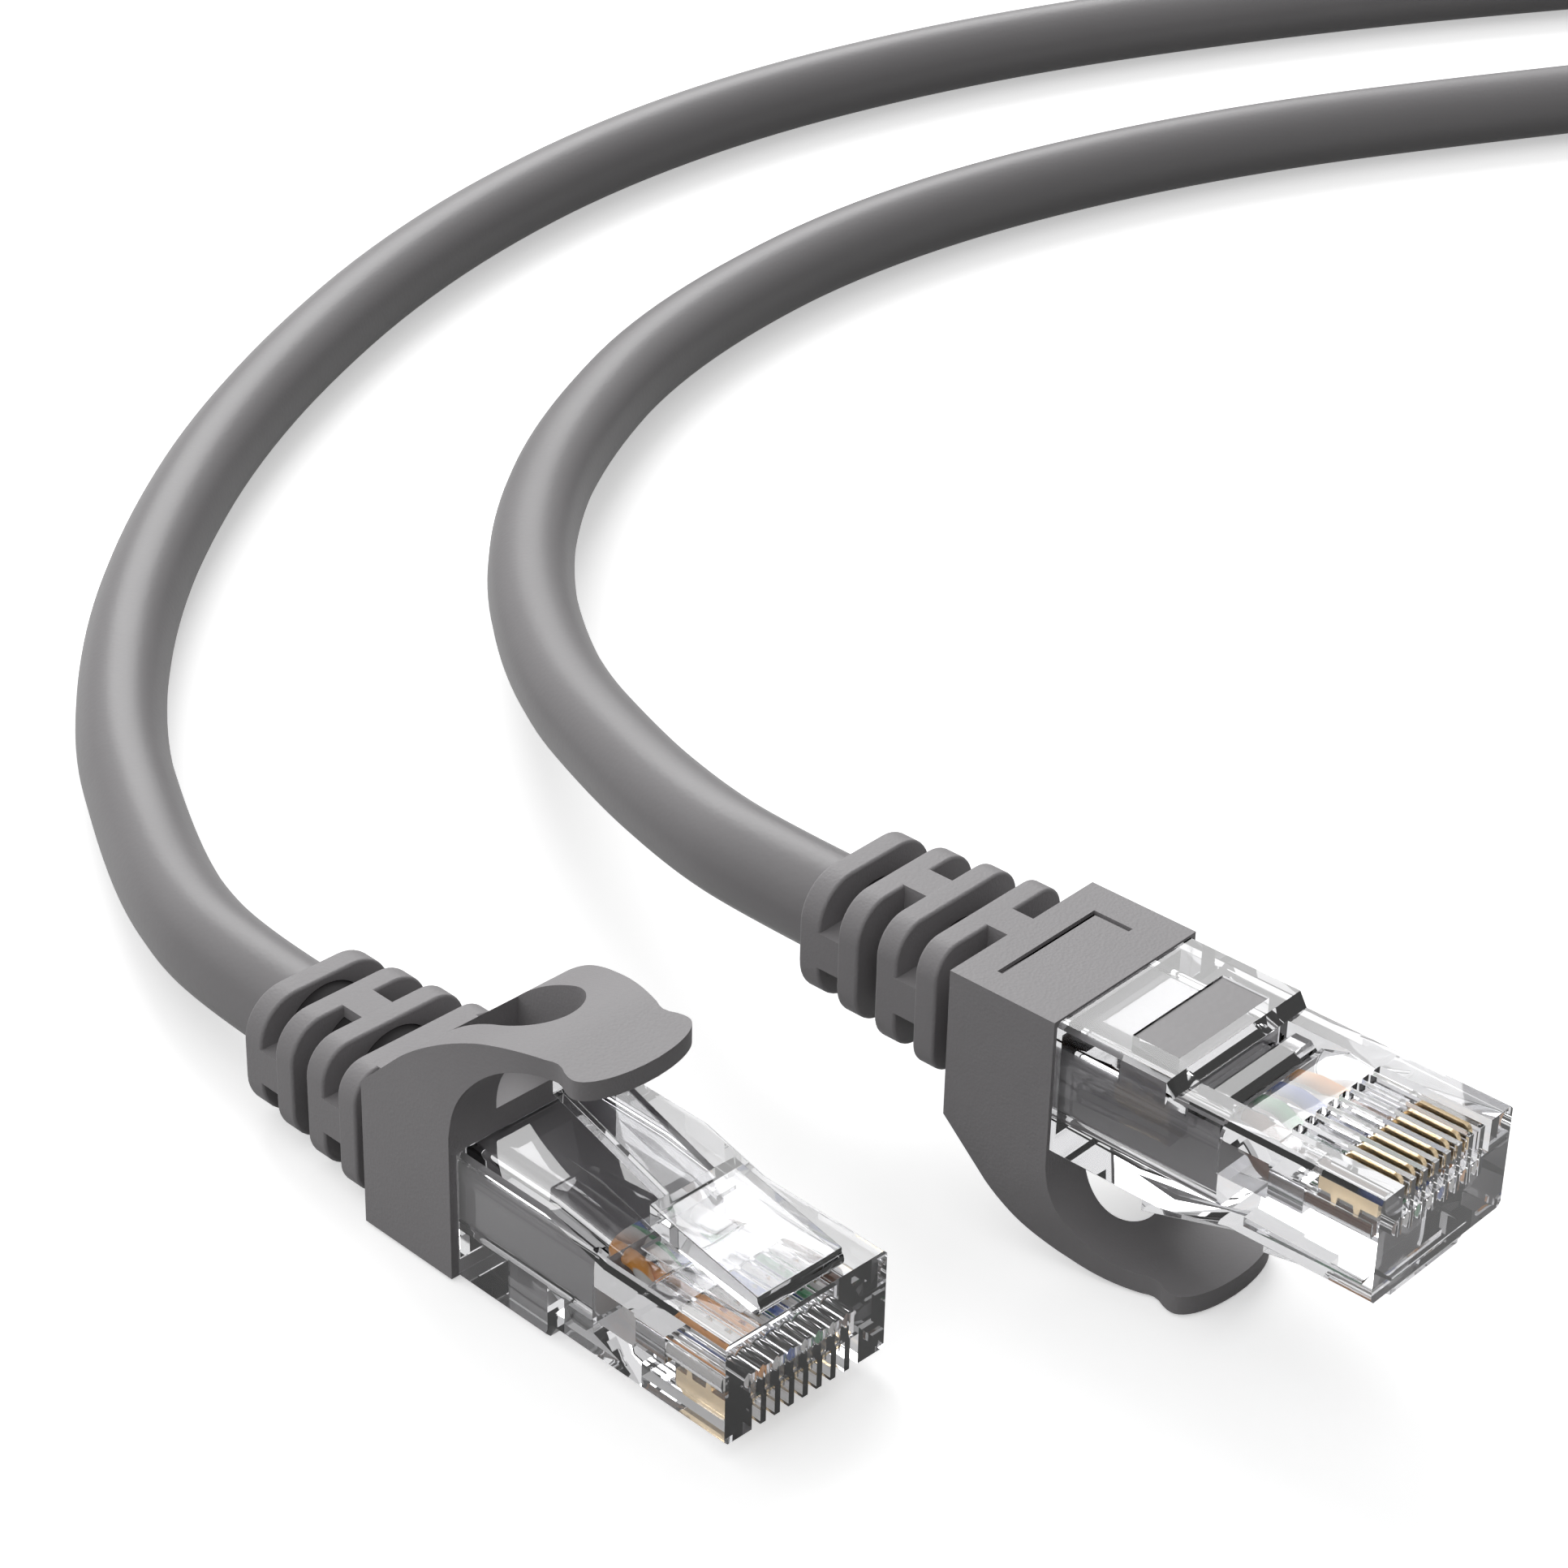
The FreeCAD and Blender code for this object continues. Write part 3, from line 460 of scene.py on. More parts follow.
def new_group(kind: Group, inputs: dict[str, object], outputs: dict[str, str]) -> Wiring:
    """Starts the node group of a shared effect, which takes a Vector besides its other inputs.

    Args:
        kind: Which effect.
        inputs: The other inputs' first values, by name.
        outputs: The outputs' types, by name.

    Returns:
        The wiring of its tree.
    """
    tree = bpy.data.node_groups.new(kind.value, "ShaderNodeTree")
    tree.interface.new_socket(name="Vector", in_out="INPUT", socket_type="NodeSocketVector")
    for name, value in inputs.items():
        sort = "NodeSocketFloat" if isinstance(value, float) else "NodeSocketColor"
        socket = tree.interface.new_socket(name=name, in_out="INPUT", socket_type=sort)
        socket.default_value = value
    for name, sort in outputs.items():
        tree.interface.new_socket(name=name, in_out="OUTPUT", socket_type=sort)
    return Wiring(tree)


def texture(wiring: Wiring, kind: str, entry: bpy.types.Node, **values: float) -> bpy.types.Node:
    """Adds a texture at a group's own place and scale.

    Args:
        wiring: The group's wiring.
        kind: The texture's type.
        entry: The group's input node.
        **values: Values of the texture's other inputs.

    Returns:
        The texture's node.
    """
    node = wiring.add(kind)
    for name in ("Vector", "Scale"):
        wiring.put(entry.outputs[name], node.inputs[name])
    for name, value in values.items():
        wiring.put(value, node.inputs[name])
    return node


def build_grain() -> bpy.types.NodeTree:
    """Builds the group for the fine grain of a moulding.

    Returns:
        The group: a height and a roughness that vary over the surface.
    """
    inputs = {"Scale": 4000.0, "Roughness": 0.5, "Spread": 0.05}
    wiring = new_group(Group.GRAIN, inputs, {"Height": "NodeSocketFloat", "Roughness": "NodeSocketFloat"})
    entry = wiring.add("NodeGroupInput")
    noise = texture(wiring, "ShaderNodeTexNoise", entry, Detail=3.0, Roughness=0.6)
    pits = texture(wiring, "ShaderNodeTexVoronoi", entry)
    height = wiring.math("ADD", noise.outputs["Fac"], pits.outputs["Distance"])
    centred = wiring.math("SUBTRACT", noise.outputs["Fac"], 0.5)
    swing = wiring.math("MULTIPLY", centred, entry.outputs["Spread"])
    total = wiring.math("ADD", swing, entry.outputs["Roughness"])
    leave = wiring.add("NodeGroupOutput")
    wiring.put(height, leave.inputs["Height"])
    wiring.put(total, leave.inputs["Roughness"])
    return wiring.tree


def build_handling() -> bpy.types.NodeTree:
    """Builds the group for faint smudges and uneven tone from handling.

    Returns:
        The group: a colour that is marked in places.
    """
    inputs = {"Scale": 120.0, "Clean": grey(0.5), "Marked": grey(0.45), "Amount": 0.3}
    wiring = new_group(Group.HANDLING, inputs, {"Colour": "NodeSocketColor"})
    entry = wiring.add("NodeGroupInput")
    noise = texture(wiring, "ShaderNodeTexNoise", entry, Detail=5.0, Distortion=0.6)
    spread = wiring.ramp(noise.outputs["Fac"], (0.35, 0.75))
    mask = wiring.math("MULTIPLY", spread, entry.outputs["Amount"])
    leave = wiring.add("NodeGroupOutput")
    wiring.put(wiring.mix(mask, entry.outputs["Clean"], entry.outputs["Marked"]), leave.inputs["Colour"])
    return wiring.tree


BUILDERS: dict[Group, Callable[[], bpy.types.NodeTree]] = {
    Group.GRAIN: build_grain,
    Group.HANDLING: build_handling,
}


class Make(Enum):
    """What a finish is made of, by the shader's values that set it apart."""
    MOULDED = {}
    CLEAR = {"Transmission Weight": 1.0, "IOR": 1.58}
    PLATED = {"Metallic": 1.0}


@dataclass(frozen=True)
class Finish:
    """A colour with faint marks of handling, and a fine grain.

    Attributes:
        name: The material's name.
        colour: Linear base colour, or what clear plastic gives to what shows through it.
        roughness: Middle roughness.
        grain: Grains per metre.
        depth: Depth of the grain in metres, or nought for none.
        spread: How much the roughness varies.
        sheen: Specular level.
        marks: Share of faint marks.
        worn: The colour's factor in them.
        smudges: Marks per metre.
        make: What it is made of.
    """
    name: str
    colour: Colour
    roughness: float
    grain: float
    depth: float = 0.0
    spread: float = 0.08
    sheen: float = 0.5
    marks: float = 0.35
    worn: float = 0.88
    smudges: float = 120.0
    make: Make = Make.MOULDED

    def material(self) -> Material:
        """Builds the material.

        Returns:
            The material.
        """
        shader = Shader(self.name, self)
        shader.set("Base Color", shader.marked())
        return shader.material


class Shader:
    """One material: a Principled BSDF with the shared effects wired to it."""

    def __init__(self, name: str, finish: Finish) -> None:
        """Starts a material with all of a finish but its colour.

        Args:
            name: The material's name.
            finish: The finish.
        """
        self.finish = finish
        self.material = bpy.data.materials.new(name)
        self.material.use_nodes = True
        tree = self.material.node_tree
        tree.nodes.clear()
        self.wiring = Wiring(tree)
        self.coordinates = self.wiring.add("ShaderNodeTexCoord").outputs["Object"]
        self.surface = self.wiring.add("ShaderNodeBsdfPrincipled")
        output = self.wiring.add("ShaderNodeOutputMaterial")
        self.wiring.put(self.surface.outputs["BSDF"], output.inputs["Surface"])
        self.set("Specular IOR Level", finish.sheen)
        for key, value in finish.make.value.items():
            self.set(key, value)
        self.grain()

    def set(self, name: str, value: object) -> None:
        """Gives one of the shader's inputs a socket or a plain value."""
        self.wiring.put(value, self.surface.inputs[name])

    def group(self, kind: Group, **values: object) -> bpy.types.Node:
        """Places a shared effect on Object coordinates.

        Args:
            kind: Which effect.
            **values: Values of its inputs.

        Returns:
            The group node.
        """
        shared = bpy.data.node_groups.get(kind.value) or BUILDERS[kind]()
        node = self.wiring.add("ShaderNodeGroup", node_tree=shared)
        for key, value in {"Vector": self.coordinates, **values}.items():
            self.wiring.put(value, node.inputs[key])
        return node

    def grain(self) -> None:
        """Gives the surface the finish's grain."""
        finish = self.finish
        node = self.group(Group.GRAIN, Scale=finish.grain, Roughness=finish.roughness, Spread=finish.spread)
        self.set("Roughness", node.outputs["Roughness"])
        if finish.depth:
            relief = self.wiring.add("ShaderNodeBump")
            relief.inputs["Strength"].default_value = 1.0
            relief.inputs["Distance"].default_value = finish.depth
            self.wiring.put(node.outputs["Height"], relief.inputs["Height"])
            self.set("Normal", relief.outputs["Normal"])

    def marked(self) -> Socket:
        """Marks the finish's colour as handling does.

        Returns:
            The colour's socket.
        """
        finish = self.finish
        node = self.group(
            Group.HANDLING, Scale=finish.smudges, Clean=rgba(finish.colour),
            Marked=rgba(finish.colour, finish.worn), Amount=finish.marks)
        return node.outputs["Colour"]

    def beside(self, centre: Vector, plug: PlugPlace) -> bpy.types.Node:
        """Measures from a spot on a plug along the plug's own axes.

        Args:
            centre: The spot.
            plug: The plug.

        Returns:
            The node that gives X, Y and Z.
        """
        yaw = math.radians(plug.yaw)
        mapping = self.wiring.add("ShaderNodeMapping")
        mapping.inputs["Rotation"].default_value = (0.0, 0.0, -yaw)
        mapping.inputs["Location"].default_value = Matrix.Rotation(-yaw, 4, "Z") @ -centre
        self.wiring.put(self.coordinates, mapping.inputs["Vector"])
        return self.wiring.axes(mapping.outputs["Vector"])


@dataclass(frozen=True)
class PaintedGapShade:
    """The jacket's end, with painted shade: darker and with less sheen the deeper it lies between the strain
    relief's ribs. Lengths in millimetres.

    Attributes:
        name: The material's name.
        plain: Its finish outside the gaps.
        left: Share of its tone that the painted shade leaves at the bottom of a gap.
        deep: Depth at which the painted shade is full.
        start: Where the painted shade starts along the plug.
        ramp: Length over which it comes in from there.
        rib_x: The boot's rear face.
        half_width: Half the width of a rib beside the boot.
        taper: How much less that is for each millimetre towards the cord.
        half_height: Half the mean height of a rib.
        middle_e: Height of the ribs' middle.
    """
    name: str
    plain: Finish
    left: float = 0.22
    deep: float = 0.4
    start: float = -22.0
    ramp: float = 0.1
    rib_x: float = -28.1
    half_width: float = 5.4
    taper: float = 0.072
    half_height: float = 4.05
    middle_e: float = 4.25

    def material(self, plug: PlugPlace) -> Material:
        """Builds the material, with painted shade between the ribs.

        Args:
            plug: The plug that it lies in.

        Returns:
            The material.
        """
        shader = Shader(f"{self.name}_{plug.letter}", self.plain)
        wiring = shader.wiring
        shade = self.shade(shader, plug)
        bottom = rgba(self.plain.colour, self.left)
        # Painted shade: the colour darkens towards the bottom of the gaps, and the sheen fades with it
        shader.set("Base Color", wiring.mix(shade, shader.marked(), bottom))
        lit = wiring.math("SUBTRACT", 1.0, shade)
        shader.set("Specular IOR Level", wiring.math("MULTIPLY", lit, self.plain.sheen))
        return shader.material

    def shade(self, shader: Shader, plug: PlugPlace) -> Socket:
        """How deep a place lies between the ribs, from nought to one: the strength of the painted shade.

        Args:
            shader: The material's shader.
            plug: The plug that it lies in.

        Returns:
            The socket.
        """
        wiring = shader.wiring
        place = shader.beside(plug.spot(0.0, 0.0, 0.0), plug)
        across = wiring.math("ABSOLUTE", place.outputs["Y"], 0.0)
        narrowing = wiring.math("MULTIPLY", place.outputs["X"], self.taper)
        half = wiring.math("ADD", narrowing, (self.half_width - self.taper * self.rib_x) * MM)
        from_side = wiring.math("SUBTRACT", half, across)
        up = -1.0 if plug.upside_down else 1.0
        off_middle = wiring.math("SUBTRACT", place.outputs["Z"], up * self.middle_e * MM)
        off_middle = wiring.math("ABSOLUTE", off_middle, 0.0)
        from_top = wiring.math("SUBTRACT", self.half_height * MM, off_middle)
        depth = wiring.math("MINIMUM", from_side, from_top)
        depth = wiring.held(wiring.math("DIVIDE", depth, self.deep * MM))
        behind = wiring.math("SUBTRACT", self.start * MM, place.outputs["X"])
        behind = wiring.held(wiring.math("DIVIDE", behind, self.ramp * MM))
        return wiring.math("MULTIPLY", depth, behind)


@dataclass(frozen=True)
class WireSheath:
    """A wire's insulation: one colour, or white with a stripe along it.

    Attributes:
        name: The wire's colour, as in its node's name.
        colour: Linear colour of the sheath or of its stripe.
        striped: Whether it is white with a stripe.
        white: Colour beside the stripe.
        stripe_edge: Where the stripe starts beside the wire's axis, in metres.
    """
    name: str
    colour: Colour
    striped: bool
    white: Colour = (0.82, 0.80, 0.77)
    stripe_edge: Pair = (0.00018, 0.00024)

    def material(self, centre: Vector, plug: PlugPlace) -> Material:
        """Builds the material of one wire.

        Args:
            centre: A spot on the wire's axis.
            plug: The plug that it lies in.

        Returns:
            The material.
        """
        finish = Finish(
            f"sheath_{self.name}_{plug.letter}", self.colour, roughness=0.34, grain=3000.0, depth=0.000006,
            marks=0.4, worn=0.85, smudges=500.0)
        if not self.striped:
            return finish.material()
        shader = Shader(finish.name, finish)
        place = shader.beside(centre, plug)
        stripe = shader.wiring.ramp(place.outputs["Y"], self.stripe_edge)
        shader.set("Base Color", shader.wiring.mix(stripe, rgba(self.white), rgba(self.colour)))
        return shader.material


def clear_plastic(name: str, roughness: float) -> Finish:
    """Makes a finish of clear polycarbonate.

    Args:
        name: The material's name.
        roughness: Its roughness, which varies by as much.

    Returns:
        The finish.
    """
    return Finish(name, (0.93, 0.93, 0.945), roughness, grain=900.0, spread=roughness, marks=0.5, worn=0.97,
                  make=Make.CLEAR)


BOOT_GREY = Finish("boot_grey_rubber", (0.300, 0.289, 0.297), 0.56, 5200.0, 0.000012)
JACKET_GREY = Finish(
    "jacket_grey_vinyl", (0.265, 0.256, 0.262), 0.40, 2600.0, 0.000006, spread=0.05, sheen=0.38)
# The jacket's end: its grey, with painted shade between the boot's ribs
JACKET_END_PAINTED_SHADE = PaintedGapShade("jacket_end_grey_painted_shade", JACKET_GREY)
TIE_BLACK = Finish("tie_black_rubber", (0.012, 0.012, 0.013), 0.5, 2200.0, 0.00003)
HOUSING_CLEAR = clear_plastic("housing_clear", 0.015)
LATCH_CLEAR = clear_plastic("latch_clear", 0.012)
BAR_CLEAR = clear_plastic("load_bar_clear", 0.08)
CLAMP_CLEAR = clear_plastic("clamp_clear", 0.05)
CONTACT_GOLD = Finish(
    "contact_gold", (0.96, 0.76, 0.48), 0.22, 5200.0, 0.000004, spread=0.15, marks=0.5, worn=0.75,
    smudges=900.0, make=Make.PLATED)
FLOOR_WHITE = Finish("floor_white", (0.97, 0.97, 0.97), 0.75, 300.0, spread=0.1, sheen=0.0)
SHEATHS = (
    WireSheath("white_orange", (0.97, 0.41, 0.07), True),
    WireSheath("orange", (0.97, 0.41, 0.07), False),
    WireSheath("white_green", (0.03, 0.30, 0.10), True),
    WireSheath("blue", (0.02, 0.09, 0.42), False),
    WireSheath("white_blue", (0.02, 0.09, 0.42), True),
    WireSheath("green", (0.02, 0.26, 0.08), False),
    WireSheath("white_brown", (0.16, 0.06, 0.025), True),
    WireSheath("brown", (0.13, 0.05, 0.02), False),
)


def dress(obj: Piece, material: Material) -> None:
    """Gives a piece one material in place of its own."""
    obj.data.materials.clear()
    obj.data.materials.append(material)


def dress_node(obj: Piece, material: Material) -> None:
    """Gives a CAD node a material in each of its object's slots.

    Args:
        obj: The CAD node.
        material: The material.
    """
    if not obj.material_slots:
        obj.data.materials.append(material)
    for held in obj.material_slots:
        held.material = material


# The cord

@dataclass
class PatchCord:
    """The grey cord: a free stretch from each boot and the coil that holds the rest. Lengths are in metres.

    Attributes:
        diameter: Of the jacket.
        exit_height: Of the cord's axis in boot A.
        exit_run: Straight length out of each boot.
        length: The free length in all; not used.
        coil_centre: Of the coil, in plan.
        coil_turns: Turns of the coil.
        coil_start: Angle where stretch A meets the coil, in degrees.
        coil_inner: Radius at the climb between the layers.
        coil_pitch: From turn to turn and from layer to layer.
        coil_floor: Height of the lower layer's axis.
        climb: Turns that the climb takes.
        tail: Straight end of the coil.
        lead_a: From the coil's tail to the route's last point, on stretch A.
        lead_b: The same on stretch B.
        turn_points: Points in each turn.
        heading_step: Turns to each side over which the coil's direction is taken.
        round_steps: How finely the way round the jacket is divided, as the curve's bevel resolution.
        run_steps: Rings from point to point.
    """
    diameter: float = 0.0059
    exit_height: float = 0.0047
    exit_run: float = 0.007
    length: float = 1.49
    coil_centre: Pair = (0.012, 0.246)
    coil_turns: float = 4.6
    coil_start: float = 132.0
    coil_inner: float = 0.0223
    coil_pitch: float = 0.00645
    coil_floor: float = 0.00395
    climb: float = 0.5
    tail: float = 0.006
    lead_a: float = 0.024
    lead_b: float = 0.014
    turn_points: int = 16
    heading_step: float = 0.002
    round_steps: int = 9
    run_steps: int = 12

    EXIT_X = -40.1
    ROUTE_A = (
        (-0.0340, 0.0016, 0.0043), (-0.0430, 0.0058, 0.0034), (-0.0562, 0.0132, 0.00295),
        (-0.0717, 0.0274, 0.00295), (-0.0872, 0.0487, 0.00295), (-0.1004, 0.0779, 0.00295),
        (-0.1052, 0.1085, 0.00295), (-0.1007, 0.1397, 0.00295), (-0.0890, 0.1700, 0.00295),
        (-0.0735, 0.1995, 0.00295), (-0.0535, 0.2305, 0.0033),
    )
    ROUTE_B = (
        (-0.0126, 0.0235, 0.0109), (-0.0219, 0.0266, 0.0096), (-0.0356, 0.0326, 0.0076),
        (-0.0515, 0.0443, 0.0054), (-0.0655, 0.0606, 0.0035), (-0.0755, 0.0814, 0.00295),
        (-0.0787, 0.1087, 0.00295), (-0.0722, 0.1396, 0.00295), (-0.0580, 0.1700, 0.00295),
        (-0.0388, 0.2042, 0.0034),
    )

    def way_out(self, plug: PlugPlace) -> tuple[Vector, Vector]:
        """Where the cord comes out of a boot.

        Args:
            plug: The boot's plug.

        Returns:
            The start and the end of the straight length there.
        """
        height = self.exit_height / MM
        start = plug.spot(self.EXIT_X, 0.0, height)
        ahead = (start - plug.spot(0.0, 0.0, height)).normalized()
        return start, start + ahead * self.exit_run

    def coil_spot(self, turn: float) -> Vector:
        """Place of the cord's axis after some turns of the coil.

        Args:
            turn: Turns from where stretch A comes in.

        Returns:
            The place in metres.
        """
        middle = self.coil_turns / 2
        away = abs(turn - middle)
        half_climb = self.climb / 2
        if away < half_climb:
            away = (away ** 2 / half_climb + half_climb) / 2
        radius = self.coil_inner + self.coil_pitch * away
        angle = math.radians(self.coil_start) - 2 * math.pi * turn
        climbed = min(max((turn - middle) / self.climb + 0.5, 0.0), 1.0)
        height = self.coil_floor + self.coil_pitch * (1 - math.cos(math.pi * climbed)) / 2
        x, y = self.coil_centre
        return Vector((x + radius * math.cos(angle), y + radius * math.sin(angle), height))

    def coil_heading(self, turn: float) -> Vector:
        """Direction of the cord after some turns of the coil.

        Args:
            turn: Turns from where stretch A comes in.

        Returns:
            The direction, of length one.
        """
        low = self.coil_spot(max(turn - self.heading_step, 0.0))
        high = self.coil_spot(min(turn + self.heading_step, self.coil_turns))
        return (high - low).normalized()

    def points(self) -> Iterator[Vector]:
        """Control points from boot A through the coil to boot B.

        Yields:
            Each point in metres.
        """
        yield from self.way_out(PLUG_A)
        yield from map(Vector, self.ROUTE_A)
        came = self.coil_heading(0.0)
        yield self.coil_spot(0.0) - came * (self.tail + self.lead_a)
        yield self.coil_spot(0.0) - came * self.tail
        steps = round(self.coil_turns * self.turn_points)
        for step in range(steps + 1):
            yield self.coil_spot(self.coil_turns * step / steps)
        gone = self.coil_heading(self.coil_turns)
        yield self.coil_spot(self.coil_turns) + gone * self.tail
        yield self.coil_spot(self.coil_turns) + gone * (self.tail + self.lead_b)
        yield from map(Vector, reversed(self.ROUTE_B))
        yield from reversed(self.way_out(PLUG_B))

    def build(self) -> Piece:
        """Makes the cord's curve and dresses it.

        Returns:
            The curve object.
        """
        route = list(self.points())
        curve = bpy.data.curves.new("cord", "CURVE")
        curve.dimensions = "3D"
        curve.bevel_depth = self.diameter / 2
        curve.bevel_resolution = self.round_steps
        curve.use_fill_caps = True
        spline = curve.splines.new("NURBS")
        spline.points.add(len(route) - 1)
        for point, place in zip(spline.points, route):
            point.co = (*place, 1.0)
        spline.order_u = 3
        spline.use_endpoint_u = True
        curve.resolution_u = self.run_steps
        cord = shown("cord", curve)
        curve.materials.append(JACKET_GREY.material())
        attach(cord, "cord_body")
        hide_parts("cord_stretch_a", "cord_coil", "cord_stretch_b")
        LOG.info("laid %s", cord.name)
        return cord

    def declare(self) -> None:
        """Finds where the cord leaves boot A, and does nothing more.
        """
        start, _ = self.way_out(PLUG_A)
        tuple(start)


# The moulded boot with its hook

@dataclass(frozen=True)
class Station:
    """One cross-section of the hook's arm, in the plug's frame.

    Attributes:
        front: Its front edge in side view, x and e.
        back: Its back edge in side view, x and e.
        width: Across the plug.
    """
    front: Pair
    back: Pair
    width: float

    @property
    def centre(self) -> Vector:
        """Its middle."""
        return Vector(((self.front[0] + self.back[0]) / 2, 0.0, (self.front[1] + self.back[1]) / 2))

    @property
    def depth(self) -> float:
        """From front to back."""
        return math.hypot(self.front[0] - self.back[0], self.front[1] - self.back[1])

    @property
    def tilt(self) -> float:
        """Angle of the line from back to front, in radians."""
        return math.atan2(self.front[1] - self.back[1], self.front[0] - self.back[0])


@dataclass(frozen=True)
class Rib:
    """One rib of the strain relief.

    Attributes:
        front: Its front face.
        width: Across the plug.
        height: Its height.
        corner: Of its round corners.
    """
    front: float
    width: float
    height: float
    corner: float


@dataclass
class MouldedBoot:
    """Boot, strain relief and hook, moulded in one piece of soft plastic. Lengths are in millimetres.

    Attributes:
        front_x: The boot's front face.
        rear_x: The boot's rear face.
        width: Of the boot.
        height: Of the boot.
        edge: Radius of all outer edges.
        edge_steps: Faces across them.
        axis_e: Height of the cord's axis.
        cord_r: Radius of the bore.
        cord_hole: Middle and length of the bore along the plug.
        rib_t: Thickness of a rib and of a gap.
        rib_width: At the boot and at the cord.
        rib_height: At the boot and at the cord.
        rib_corner: At the boot and at the cord.
        rib_steps: Faces round a rib's corner.
        rib_drop: How far the ribs' middle lies below the cord's axis.
        ribs: How many ribs there are.
        roof_t: Thickness of the web from the first rib to the boot.
        side_bridge: Height of the bridges at the sides.
        top_bridge: Width of the bridges at top and bottom.
        springing: How far below the boot's top the hook starts.
        pad_top: Height of the hook's pad.
        pad_t: Thickness of the pad.
        pad_x: Where the back's curve meets the pad.
        arch_x: Where the arch meets the pad.
        tip_x: The pad's tip.
        tip_round: Length of the pad's round end.
        tip_least: Least share of the pad's width at its tip, squared.
        back_r: Radius of the hook's back.
        arch_r: Radius of its arch.
        slope: Of the back behind its curve, in degrees.
        front_share: Share of the way from a section's back to its front where its width is taken.
        curve_steps: Cross-sections in the curve.
        tip_steps: Cross-sections in the round end.
        slot_width: Across the hook's slot.
        slot_rear: Its straight end, behind the crest of the hook's back.
        slot_front: Its round end.
        slot_floor: How far above the boot's top the slot's cutters start.
        slot_top: Top of the slot's cutters.
        groove_back: From the boot's front face to the groove across its flat side.
    """
    front_x: float = -20.9
    rear_x: float = -28.1
    width: float = 12.2
    height: float = 9.5
    edge: float = 0.2
    edge_steps: int = 3
    axis_e: float = 4.7
    cord_r: float = 3.0
    cord_hole: Pair = (-33.0, 30.0)
    rib_t: float = 1.5
    rib_width: Pair = (10.8, 9.5)
    rib_height: Pair = (8.2, 7.9)
    rib_corner: Pair = (1.8, 2.7)
    rib_steps: int = 10
    rib_drop: float = 0.45
    ribs: int = 4
    roof_t: float = 1.5
    side_bridge: float = 2.3
    top_bridge: float = 2.2
    springing: float = 0.1
    pad_top: float = 16.2
    pad_t: float = 1.2
    pad_x: float = -15.5
    arch_x: float = -15.7
    tip_x: float = -11.7
    tip_round: float = 1.6
    tip_least: float = 0.02
    back_r: float = 14.0
    arch_r: float = 5.2
    slope: float = 45.0
    front_share: float = 0.75
    curve_steps: int = 22
    tip_steps: int = 12
    slot_width: float = 5.4
    slot_rear: float = -25.2
    slot_front: float = -18.0
    slot_floor: float = 0.2
    slot_top: float = 30.0
    groove_back: float = 5.15

    # How upright the face is that the hook grows from, and the angles past which edges are rounded
    UPWARD = 0.9
    RIB_EDGE_ANGLE = 60.0
    BODY_EDGE_ANGLE = 35.0
    NORMAL_WEIGHT = 50

    # The hook's width along the plug: full at the boot, a nick, then the round pad
    NICK_MARKS = (
        (-23.0, 12.2), (-22.0, 12.0), (-21.0, 11.4), (-20.0, 10.6), (-19.0, 9.9), (-18.0, 9.4), (-17.2, 8.95),
        (-16.5, 8.5), (-15.8, 8.0), (-15.2, 7.6), (-14.8, 7.45), (-14.4, 7.6), (-14.0, 8.0), (-13.6, 8.25),
        (-13.3, 8.3),
    )

    # Where the pad's cross-sections lie
    PAD_MARKS = (-15.15, -14.8, -14.6, -14.4, -14.2, -14.0, -13.8, -13.6, -13.3)

    # Hollows in the boot, from corner to corner
    ROOMS = {
        "tail_room": ((-22.8, -4.94, 1.05), (0.0, 4.94, 7.7)),
        "jacket_room": ((-26.6, -4.25, 2.2), (-22.0, 4.25, 7.4)),
    }

    # The same for the groove's two legs, with x from the groove's line
    GROOVES = {
        "groove_long": ((-0.175, -3.9, -1.0), (0.175, 4.4, 0.25)),
        "groove_short": ((-0.17, -3.9, -1.0), (2.5, -3.55, 0.25)),
    }

    def rib(self, index: int) -> Rib:
        """Sizes and places a rib.

        Args:
            index: Which rib, where 0 is beside the boot.

        Returns:
            The rib.
        """
        share = index / (self.ribs - 1)
        width, height, corner = (
            pair[0] + (pair[1] - pair[0]) * share
            for pair in (self.rib_width, self.rib_height, self.rib_corner))
        return Rib(self.rear_x - self.rib_t * (1 + 2 * index), width, height, corner)

    @property
    def rib_e(self) -> float:
        """Height of the ribs' middle."""
        return self.axis_e - self.rib_drop

    def bar(self, name: str, rear: float, front: float, half_w: float, half_h: float) -> Piece:
        """Adds a block about the ribs' middle.

        Args:
            name: The object's name.
            rear: Its rear face.
            front: Its front face.
            half_w: Half its width.
            half_h: Half its height.

        Returns:
            The block.
        """
        return block(name, (rear, -half_w, self.rib_e - half_h), (front, half_w, self.rib_e + half_h))

    def round_rib(self, index: int) -> Piece:
        """Adds a rib with round corners and edges.

        Args:
            index: Which rib.

        Returns:
            The rib's bar.
        """
        rib = self.rib(index)
        obj = self.bar(f"rib_{index}", rib.front - self.rib_t, rib.front, rib.width / 2, rib.height / 2)
        bpy.ops.object.mode_set(mode="EDIT")
        pick(obj, Element.EDGE, lies_lengthwise)
        bpy.ops.mesh.bevel(offset=rib.corner, segments=self.rib_steps, affect="EDGES")
        bpy.ops.object.mode_set(mode="OBJECT")
        break_edges(obj, self.edge, self.edge_steps, self.RIB_EDGE_ANGLE)
        return obj

    def bridge(self, index: int) -> Piece:
        """Adds the bridges from a rib to the form ahead of it, in turn at top and bottom or at the sides.

        Args:
            index: Which rib.

        Returns:
            The bar that makes both bridges.
        """
        rib = self.rib(index)
        rear = rib.front - self.rib_t / 2
        ahead = rib.front + self.rib_t * 1.5
        if index % 2:
            return self.bar(f"bridge_{index}", rear, ahead, rib.width / 2, self.side_bridge / 2)
        return self.bar(f"bridge_{index}", rear, ahead, self.top_bridge / 2, rib.height / 2)

